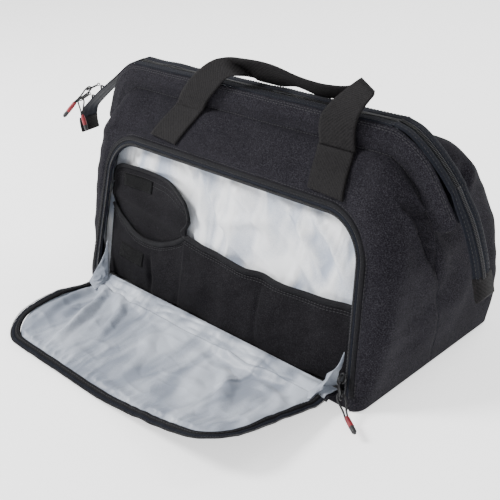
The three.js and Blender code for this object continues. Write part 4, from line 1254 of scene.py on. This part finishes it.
binding = band("opening_binding", arch(8.6) + FRONT_OUT * 0.3, 3.0, 1.5, BINDING, FRONT_OUT)
tape = band("opening_tape", arch(4.2) + FRONT_OUT * 0.3, 1.9, 0.7, TAPE, FRONT_OUT)
tape_edge = band("opening_tape_roll", arch(0.2) - FRONT_OUT * 1.2, 1.3, 1.2, TAPE, FRONT_OUT)
teeth = coil("opening_coil", arch(1.6) + FRONT_OUT * 1.1, FRONT_OUT, COIL)
opening = settle(join("opening_tape_and_binding", tape, binding, tape_edge), "zip_tape", "opening_zip_tape")
settle(teeth, "zip_coil", "opening_zip_teeth")
across = np.cross(unit(np.gradient(arch(7.6), axis=0)), FRONT_OUT)
rows = [(arch(7.2) + FRONT_OUT * 1.6, across), (arch(13.2) + FRONT_OUT * 0.3, across)]
sewn = stitches("opening_stitches", rows, DARK_THREAD)
settle(sewn, "zip_tape")
for part in (opening, teeth, sewn):
    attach(part, "shell")

# --- The open flap: canvas below, quilted satin above, and a zip round its edge ---


HINGE_STEP = 3.4  # from the front panel to the line where the flap's reach begins


def flap_half(reach):
    into = reach - (FLAP_REACH - FLAP_CORNER)
    straight = mix(FLAP_HALF, FLAP_FAR, reach / FLAP_REACH)
    bow = straight - FLAP_CORNER + np.sqrt(np.maximum(0, FLAP_CORNER**2 - np.maximum(into, 0) ** 2))
    return np.where(into > 0, bow, straight)


def flap_rise(x, reach):
    share = reach / FLAP_REACH
    drop = 9.5 * (1 - smooth(share / 0.2))
    right_side = 40 * clamp(x / FLAP_FAR) ** 1.6 * mix(0.1, 1, share)
    left_side = 15 * clamp(-x / FLAP_FAR) ** 6 * np.sin(np.pi * clamp(share * 1.1 - 0.1))
    return 0.5 + drop + right_side + left_side + 2.5 * share**4


def flap_wave(x, reach):
    """Slow waves of the flap as a whole, all upwards."""
    p = np.stack([x, reach, 0 * x], -1)
    return (1.5 + field(81, (170, 120, 1))(p)) * 0.8 * smooth(reach / 30)


def flap_point(x, reach, lift):
    y = on_front(HINGE_Z) - HINGE_STEP - reach
    return np.stack([x, y, flap_rise(x, reach) + flap_wave(x, reach) + lift], -1)


def flap_sheet(name, inset, lift, thickness, material, relief=None, reach_from=0.0):
    reach = np.linspace(reach_from, FLAP_REACH - inset, 110)[None, :]
    share = np.linspace(-1, 1, 200)[:, None]
    x = share * (flap_half(reach + inset * reach / FLAP_REACH) - inset)
    reach = reach + 0 * x
    lifts = lift + (0 if relief is None else relief(x, reach))
    return cloth(name, flap_point(x, reach, lifts), thickness, material, (0, 0, 1))


def puckers(x, reach):
    """The lining's wrinkles: folds from its left corner, soft quilting, and gathers at the zip."""
    p = np.stack([x, reach, 0 * x], -1)
    far = np.maximum(0, FLAP_REACH - 13 - reach)
    edge = np.minimum(far, np.maximum(0, flap_half(reach) - 13 - np.abs(x)))
    d = 1.2 + 1.1 * field(82, (62, 48, 1))(p) + 0.7 * (1 - np.abs(field(83, (40, 26, 1))(p)))
    gathers = (1 - np.abs(field(84, (12, 44, 1))(p))) * np.exp(-((far / 17) ** 2)) * 1.6
    folds = [
        ([(-176, 6), (-150, 50), (-128, 104), (-120, 140)], 6.0, 4.2),
        ([(-158, 4), (-110, 40), (-84, 92)], 7.0, 3.4),
        ([(-188, 20), (-182, 70), (-170, 116)], 5.0, 2.8),
        ([(-60, 30), (-20, 70), (0, 120)], 9.0, 2.6),
        ([(60, 20), (110, 64), (150, 118)], 9.0, 3.0),
        ([(10, 12), (90, 20), (170, 12)], 6.0, 2.6),
        ([(120, 30), (168, 44), (196, 70)], 6.0, 2.2),
    ]
    plane = np.stack([x, reach], -1)
    for line, width, height in folds:
        gone, where = polyline_distance(plane, line)
        d = d + 1.5 * height * np.exp(-((gone / width) ** 2)) * swell(where)
        d = d - 0.8 * height * np.exp(-(((gone - 1.9 * width) / width) ** 2)) * np.sin(np.pi * clamp(where))
    return np.maximum(0.1, (d + gathers)) * smooth(edge / 7) * smooth((reach - 4) / 12)


STRIP = 20.0  # the flap's hinge strip, which bends
under_cloth = flap_sheet("flap_canvas", 9.0, 1.0, 1.0, CANVAS, None, STRIP - 4)
over_cloth = flap_sheet("flap_satin", 10.0, 2.4, 0.7, FLAP_SATIN, puckers, STRIP - 4)


def flap_rim(offset, lift, samples=460):
    """The flap's edge grown inwards by an offset, from its right foot round the far side to its left foot."""
    reach = np.linspace(STRIP - 4, FLAP_REACH - FLAP_CORNER, 16)
    side = [(flap_half(r) - offset, r) for r in reach]
    centre = flap_half(np.array(FLAP_REACH - FLAP_CORNER)) - FLAP_CORNER
    radius = FLAP_CORNER - offset
    for t in np.linspace(0, np.pi / 2, 20)[1:]:
        side.append((centre + radius * math.cos(t), FLAP_REACH - FLAP_CORNER + radius * math.sin(t)))
    side = np.array(side, float)
    flat = even(np.vstack([side, side[::-1] * vec(-1, 1)]), samples)
    line = flap_point(flat[:, 0], flat[:, 1], lift)
    gather = field(86, (30, 30, 30))(line) * 0.5
    return line + np.stack([0 * gather, 0 * gather, np.abs(gather)], -1)


UP = vec(0, 0, 1)
rim_band = band("flap_binding", flap_rim(9.4, 2.6), 3.3, 2.0, BINDING, UP)
rim_tape = band("flap_tape", flap_rim(4.6, 1.6), 2.8, 1.1, TAPE, UP)
rim_coil = coil("flap_coil", flap_rim(1.3, 1.9), UP, COIL)
rim = settle(join("flap_tape_and_binding", rim_tape, rim_band), "zip_tape", "flap_zip_tape")
rows = []
for offset in (8.0, 11.0):
    line = flap_rim(offset, 4.5)
    rows.append((line, np.cross(unit(np.gradient(line, axis=0)), UP)))
rim_sewn = settle(stitches("flap_stitches", rows, DARK_THREAD), "zip_tape")
settle(rim_coil, "zip_coil", "flap_zip_teeth")
settle(under_cloth, "canvas", "flap_outer")
settle(over_cloth, "satin_lining", "flap_lining")
for part in (under_cloth, over_cloth, rim, rim_coil, rim_sewn):
    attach(part, "front_flap")
    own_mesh(part)

# The strip that joins the flap to the foot of the opening, in satin above canvas.


def hinge_strip(name, lift, thickness, material, half):
    x = np.linspace(-half, half, 150)[:, None]
    t = np.linspace(0, 1, 26)[None, :]
    reach = -6 + (STRIP + 2) * t + 0 * x
    fold = field(91, (34, 14, 1))(np.stack([x + 0 * t, reach, 0 * reach], -1)) * 0.8
    start_z = 13.0 + lift + 0 * x
    end = flap_point(x + 0 * t, np.maximum(reach, 0), lift)
    puff = np.abs(fold) * smooth(t * 4) * smooth((1 - t) * 4)
    z = mix(start_z, end[..., 2], smooth((reach + 6) / 14)) + puff
    p = np.stack([x + 0 * t, on_front(HINGE_Z) - HINGE_STEP - reach, z], -1)
    return cloth(name, p, thickness, material, (0, 0, 1))


strip_under = hinge_strip("hinge_strip_canvas", 0.6, 1.0, CANVAS, 207)
strip_over = hinge_strip("hinge_strip_satin", 2.2, 0.8, FLAP_SATIN, 203)
settle(strip_under, "canvas")
settle(strip_over, "satin_lining")


def gusset(sign, name):
    """A gathered fold of lining between the flap's side and the side of the opening."""
    u = np.linspace(0, 1, 60)[:, None]
    v = np.linspace(0, 1, 34)[None, :]
    low = spline([(200, -104, 15), (186, -119, 13), (180, -143, 11)], 60)
    high = spline([(205, -97, 54), (202, -109, 38), (196, -140, 17)], 60)
    p = mix(low[:, None], high[:, None], v[..., None] + 0 * u[..., None])
    crumple = field(95 + sign, (16, 22, 20))(p) * 2.2 + (1 - np.abs(field(97 + sign, (13, 16, 14))(p))) * 2.0
    p[..., 0] -= 2 + crumple * (np.sin(np.pi * clamp(v * 0.9 + 0.05)) * np.sin(np.pi * clamp(u * 0.8 + 0.1)))
    p = p * vec(sign, 1, 1)
    return cloth(name, p, 0.8, FLAP_SATIN, (-sign, 0, 0.3))


left_gusset = settle(gusset(-1, "left_gusset_satin"), "satin_lining", "left_flap_gusset")
right_gusset = settle(gusset(1, "right_gusset_satin"), "satin_lining", "right_flap_gusset")
for part in (strip_under, strip_over, left_gusset, right_gusset):
    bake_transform(part)

# --- The top zip: tapes and coils on the frames, the stretch down each end, and the loose tails ---


COIL_OFFSET = 1.45  # from the zip's middle to each of its coils


def top_tape(side, label):
    x = np.linspace(-203, 203, 200)
    line = np.stack([x, np.full(200, side * 8.2), np.full(200, 268.9)], -1)
    line[:, 2] += 0.35 * field(101 + side, (70, 20, 20))(line)
    tape = settle(band(f"{label}_top_tape", line, 5.7, 1.0, TAPE, UP), "zip_tape", f"{label}_zip_tape")
    middle = line * vec(1, 0, 1) + vec(0, side * COIL_OFFSET, 0.5)
    teeth = settle(coil(f"{label}_top_coil", middle, UP, COIL), "zip_coil", f"{label}_zip_teeth")
    rows = [(line + vec(0, side * k, 1.05), vec(0, 1, 0)) for k in (-2.8, 0.6, 4.0)]
    sewn = settle(stitches(f"{label}_top_tape_stitches", rows, DARK_THREAD), "zip_tape")
    for part in (tape, teeth, sewn):
        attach(part, f"{label}_frame")


top_tape(-1, "front")
top_tape(1, "rear")
LEFT_SLOPE = [(-203, 270), (-222, 262.5), (-244, 248.5), (-268, 233)]
RIGHT_SLOPE = [(203, 270), (222, 263.5), (241, 249), (258, 231), (270, 215.5)]
LEFT_TAIL = [(-267, 233.6), (-300, 212), (-326, 194), (-344, 180), (-353, 164)]
RIGHT_TAIL = [(269, 216.5), (276, 202), (284, 186), (290, 168), (295, 148), (298, 129)]


TAB_HALF = 14.5


def lay_ribbon(points, samples=70):
    """A line in the middle plane and its upper direction."""
    line = spline([(x, 0, z) for x, z in points], samples)
    along = unit(np.gradient(line, axis=0))
    up = unit(np.cross(along, vec(0, 1, 0)))
    return line, up * np.sign(up[0, 2])


for points, end in ((LEFT_SLOPE, "left"), (RIGHT_SLOPE, "right")):
    line, up = lay_ribbon(points)
    for side, label in ((-1, "front"), (1, "rear")):
        strip = band(f"{end}_{label}_slope_tape", line + vec(0, side * 7.6, 0) - up * 0.4, 5.3, 1.0, TAPE, up)
        teeth = coil(f"{end}_{label}_slope_coil", line + vec(0, side * COIL_OFFSET, 0) + up * 0.6, up, COIL)
        rows = [(line + vec(0, side * k, 0) + up * 0.65, vec(0, 1, 0)) for k in (5.4, 9.6)]
        sewn = stitches(f"{end}_{label}_slope_sewn", rows, DARK_THREAD)
        whole = join(f"{end}_{label}_slope_zip", strip, teeth, sewn)
        settle(whole, "zip_tape", f"{end}_zip_extension")
        bend(whole)


def tail(points, name, tab_points, node, tab_node, drop):
    """A loose end of the zip: its tape with two coils, stitched along its edges, and a webbing tab."""
    line, up = lay_ribbon(points)
    t = np.linspace(0, 1, len(line))
    width = mix(11.5, 13.5, smooth(t * 3))
    x = np.linspace(-1, 1, 17)
    crown = 0.9 + 0.35 * np.cos(3 * np.pi * x)
    over = [np.stack([w * x, crown + drop * (1 - x**2) * s], -1) for w, s in zip(width, t)]
    under = [o[::-1] - vec(0, 1.7) for o in over]
    sections = np.array([np.vstack([o, b]) for o, b in zip(over, under)])
    across = vec(0, 1, 0)
    flip = (np.cross(unit(np.gradient(line, axis=0)), across) * up).sum() < 0
    if flip:
        sections[..., 1] *= -1
    body = sweep(name, line, sections, TAPE, across=across)
    height = (1.3 + drop * t)[:, None]
    sides = [line + vec(0, s * COIL_OFFSET, 0) + up * height for s in (-1, 1)]
    coils = [coil(f"{name}_coil_{k}", way, up, COIL) for k, way in enumerate(sides)]
    rows = []
    for share in (-0.82, -0.5, 0.5, 0.82):
        lift = 1.35 + drop * (1 - share**2) * t
        rows.append((line + vec(0, 1, 0) * (width * share)[:, None] + up * lift[:, None], vec(0, 1, 0)))
    sewn = stitches(f"{name}_sewn", rows, DARK_THREAD)
    whole = settle(join(name, body, *coils, sewn), "zip_tape", node)
    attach(whole, "shell")
    tab_line, _ = lay_ribbon(tab_points, 30)
    tab_t = np.linspace(0, 1, 30)
    thick = 1.9 * clamp(np.minimum(tab_t, 1 - tab_t) * 10 + 0.35) ** 0.5
    lens = [(1, 0), (0.97, 1), (0, 1.1), (-0.97, 1), (-1, 0), (-0.97, -1), (0, -1.1), (0.97, -1)]
    section = np.array([[(TAB_HALF * a, k * b) for a, b in lens] for k in thick])
    tab = sweep(name + "_end", tab_line, section, WEBBING, across)
    settle(tab, "webbing", tab_node)
    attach(tab, "shell")


tail(LEFT_TAIL, "left_tail", [(-352.6, 167), (-354, 158), (-353, 146)], "left_zip_tail", "left_end_tab", 0.6)
tail(RIGHT_TAIL, "right_tail", [(297.4, 133), (300, 120), (302, 108)], "right_zip_tail", "right_end_tab", 1.5)

# --- Handles ---

WEB_THICK, STRAP_WIDTH = 1.8, 48.0
FOOT_X = 127.0  # from the middle to each foot of the rear handle


def ribbed(edge_a, edge_b, wide=14):
    """A strap's grid between two lines of points, with the weave's lengthwise ribs."""
    v = np.linspace(0, 1, wide)[None, :, None]
    p = mix(edge_a[:, None], edge_b[:, None], v)
    return p + grid_normals(p) * 0.12 * np.cos(v * np.pi * 2 * 6)


def strap_piece(name, p):
    u = np.concatenate([[0], np.cumsum(np.linalg.norm(np.diff(p, axis=0), axis=2).mean(1))])
    v = np.linspace(0, STRAP_WIDTH, p.shape[1])
    uv = np.stack(np.meshgrid(u, v, indexing="ij"), -1) * MM
    return cloth(name, p, WEB_THICK, WEBBING, uv=uv)


def strap_sewn(name, p, rows, cols, side):
    """Stitch rows on a strap: across it near its foot and along its edges."""
    surface = Surface(p, (0, side, 0))
    lines = []
    for u in rows:
        line, _ = surface.at(u, np.linspace(0.06, 0.94, 30), 0.2)
        lines.append((line, unit(np.gradient(p, axis=0))[0].mean(0)))
    for v, u_end in cols:
        line, _ = surface.at(np.linspace(0.02, u_end, 60), v, 0.2)
        lines.append((line, unit(np.gradient(p, axis=1))[0, 0]))
    return stitches(name, lines, THREAD)


def on_yoke(x, z, side, lift):
    """A point on the yoke at a height, found on the skin's grid."""
    surface = front_skin if side < 0 else rear_skin
    part = surface.p[:, JOINT - 1 :]
    far = (part[..., 0] - x) ** 2 + ((part[..., 2] - z) * 1.6) ** 2
    i, j = np.unravel_index(far.argmin(), far.shape)
    q = part[i, j]
    normal = surface.n[i, j + JOINT - 1]
    return vec(x, q[1], z) + normal * lift


# The front handle's two edges: up the left leg, over the ridge, along, and down the right leg.
FRONT_NEAR = [
    (-113, -24.5, 235), (-102, -23.5, 252), (-84, -21, 271), (-60, -19, 289), (-40, -16, 299),
    (-22, -13, 303), (0, -12, 304), (20, -10, 304), (40, -8, 302), (56, -6, 298), (70, -4, 294),
    (90, -2, 291), (110, 0, 290),
    (134, 3, 292), (150, 3, 300), (157, -3, 306), (144, -11, 295), (128, -18, 280), (117, -21.5, 265),
    (115, -23.5, 249), (116, -24.5, 235),
]
FRONT_FAR = [
    (-66, -24.5, 235), (-56, -23.5, 249), (-42, -22, 263), (-20, -21, 282), (0, -18, 286), (-8, 4, 277),
    (0, 13, 272), (14, 15, 271), (28, 15, 271), (42, 13, 274), (56, 10, 277), (72, 8, 276), (92, 10, 272),
    (122, 16, 274), (152, 12, 286), (184, -14, 300), (180, -22, 291), (172, -24, 279), (165, -23, 265),
    (163, -23.5, 249), (164, -24.5, 235),
]
# The two edges of each foot, from its lower end to the frame.
LEFT_FOOT = [((-129, 203), (-82, 200)), ((-123, 215), (-76, 213))]
RIGHT_FOOT = [((130, 201), (178, 199)), ((125, 214), (173, 213))]


def strap_grid(near, far, samples, passes=14):
    """A strap between two edge lines whose points go together, with its kinks rounded."""
    lines = spline(np.hstack([np.array(near, float), np.array(far, float)]), samples)
    for _ in range(passes):
        lines[1:-1] = (lines[:-2] + 2 * lines[1:-1] + lines[2:]) / 4
    return ribbed(lines[:, :3], lines[:, 3:])


def foot_edges(foot, side):
    return [[on_yoke(*pair[k], side, 2.0) for pair in foot] for k in (0, 1)]


def cut_strap(name, p, side, low, high, nodes):
    """Makes a strap's two sewn feet from the ends of its grid, and returns the free part between them."""
    feet = (p[: low + 1], p[high:][::-1])
    for q, end, node in zip(feet, ("left", "right"), nodes):
        piece = settle(strap_piece(f"{name}_{end}_root", q), "webbing", node)
        sewn = strap_sewn(f"{name}_{end}_root_stitches", q, (0.05, 0.12), ((0.05, 0.9), (0.95, 0.9)), side)
        for part in (piece, settle(sewn, "webbing")):
            bend(part)
    return strap_piece(f"{name}_strap", p[low : high + 1])


left_foot, right_foot = foot_edges(LEFT_FOOT, -1), foot_edges(RIGHT_FOOT, -1)
front_grid = strap_grid(
    left_foot[0] + FRONT_NEAR + right_foot[0][::-1], left_foot[1] + FRONT_FAR + right_foot[1][::-1], 300
)
height = front_grid[..., 2].mean(1)
free = np.nonzero(height > 235)[0]
roots = ("front_handle_root_left", "front_handle_root_right")
handle = cut_strap("front", front_grid, -1, free[0], free[-1], roots)
settle(handle, "webbing", "front_handle")
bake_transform(handle)


def rear_strap():
    """The two edges of the rear handle, which has fallen back behind the bag."""
    t = np.linspace(0, np.pi / 2, 14)
    bow = [(FOOT_X - 34 + 34 * math.cos(a), 45 + 34 * math.sin(a)) for a in t]
    centre = [(FOOT_X, 24), (FOOT_X, 34)] + bow
    centre = centre + [(-x, y) for x, y in centre[::-1]]
    line = spline([(x, y, 246 - 0.035 * (y - 25) - 0.34 * max(0, y - 32)) for x, y in centre], 150)
    along = unit(np.gradient(line, axis=0))
    tilt = unit(np.cross(along, UP))
    droop = smooth((line[:, 1] - 30) / 50)
    tilt = unit(tilt + vec(0, 0, -1) * (0.7 * droop * tilt[:, 1])[:, None])
    return line + tilt * STRAP_WIDTH / 2, line - tilt * STRAP_WIDTH / 2


for sign, end in ((-1, "left"), (1, "right")):
    edges = [sign * FOOT_X - STRAP_WIDTH / 2, sign * FOOT_X + STRAP_WIDTH / 2]
    a, b = [[on_yoke(x, z, 1, 2.0) for z in (200, 210, 220, 230)] + [vec(x, 24, 238)] for x in edges]
    p = ribbed(spline(a, 30), spline(b, 30))
    piece = settle(strap_piece(f"rear_{end}_root", p), "webbing", f"rear_handle_root_{end}")
    rows = strap_sewn(f"rear_{end}_root_stitches", p, (0.05, 0.12), ((0.05, 0.9), (0.95, 0.9)), 1)
    sewn = settle(rows, "webbing")
    for part in (piece, sewn):
        bend(part)
rear_grip = settle(strap_piece("rear_strap", strap_grid(*rear_strap(), 170)), "webbing", "rear_handle")
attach(rear_grip, "rear_handle")

# --- Sliders ---


def plate_shape(long, wide, thick, waist):
    """A slider's plate: a rounded lozenge with a waist and a crowned top, as points and faces."""
    t = np.linspace(0, 2 * np.pi, 28, endpoint=False)
    narrowed = 1 - waist * np.cos(t) ** 2 * (np.cos(t) > 0)
    outline = np.stack([np.cos(t) * long / 2, np.sin(t) * wide / 2 * narrowed], -1)
    rings, faces = [], []
    for scale, z in ((0.86, 0), (1.0, 0.35), (1.0, 0.7), (0.9, 1.0), (0.6, 1.12), (0.2, 1.16)):
        rings.append(np.hstack([outline * scale, np.full((28, 1), z * thick)]))
    for i in range(len(rings) - 1):
        for k in range(28):
            a, b = i * 28 + k, i * 28 + (k + 1) % 28
            faces.append((a, b, b + 28, a + 28))
    faces.append(tuple(range(28))[::-1])
    faces.append(tuple(range(28 * 5, 28 * 6)))
    return np.vstack(rings), faces


for key, (centre, along, out, rise, body) in SLIDERS.items():
    side = np.cross(out, along)
    axes = np.stack([along, side, out])
    pts, faces = plate_shape(12.0, 9.4, 1.9, 0.35)
    base_lift = 0.2 if key != "c" else 1.8
    plate = oriented(mesh(f"slider_plate_{key}", pts @ axes + centre + out * base_lift, faces, DARK_METAL))
    arm = [(3.4, 0, rise - 3.6), (4.2, 0, 1.6)]
    bridge = spline([(-x, y, z) for x, y, z in arm[::-1]] + [(0, 0, rise - 0.4)] + arm, 26)
    bridge = bridge @ axes + centre + out * base_lift * 0.5
    bar = [(1.5, 0), (1.2, 0.6), (-1.2, 0.6), (-1.5, 0), (-1.2, -0.6), (1.2, -0.6)]
    loop_bar = sweep(f"slider_bridge_{key}", bridge, bar, DARK_METAL, side)
    whole = join(f"slider_{key}", plate, loop_bar)
    settle(whole, "slider_metal", body)
    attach(whole, body)

# --- Floor, light and world ---

FLOOR = 6.0
ground = bpy.data.materials.new("ground")
ground.use_nodes = True
shader = ground.node_tree.nodes["Principled BSDF"]
shader.inputs["Base Color"].default_value = (1.0, 1.0, 1.0, 1)
shader.inputs["Emission Color"].default_value = (1.0, 1.0, 1.0, 1)
shader.inputs["Emission Strength"].default_value = 1.1
shader.inputs["Roughness"].default_value = 0.9
shader.inputs["Specular IOR Level"].default_value = 0.1
floor = bpy.data.meshes.new("floor")
corners = [(-FLOOR, -FLOOR), (FLOOR, -FLOOR), (FLOOR, FLOOR), (-FLOOR, FLOOR)]
floor.from_pydata([(x, y, -0.0004) for x, y in corners], [], [(0, 1, 2, 3)])
floor.materials.append(ground)
floor_object = bpy.data.objects.new("floor", floor)
bpy.context.scene.collection.objects.link(floor_object)


def light(name, place, aim, size, power):
    data = bpy.data.lights.new(name, "AREA")
    data.shape, data.size, data.energy = "DISK", size, power
    obj = bpy.data.objects.new(name, data)
    direction = unit(vec(*place) - vec(*aim))
    first = unit(np.cross(UP, direction))
    m = np.eye(4)
    m[:3, 0], m[:3, 1], m[:3, 2], m[:3, 3] = first, np.cross(direction, first), direction, place
    obj.matrix_world = Matrix(m.tolist())
    bpy.context.scene.collection.objects.link(obj)


light("key", (-1.3, -1.1, 1.7), (0, 0, 0.1), 0.8, 74)
light("fill", (1.9, -0.9, 1.3), (0, 0, 0.1), 1.4, 14)
light("rim", (0.3, 1.6, 1.7), (0, 0, 0.2), 1.2, 26)
world = bpy.data.worlds.new("studio")
bpy.context.scene.world = world
world.use_nodes = True
world.node_tree.nodes["Background"].inputs["Color"].default_value = (1, 1, 1, 1)
world.node_tree.nodes["Background"].inputs["Strength"].default_value = 0.62
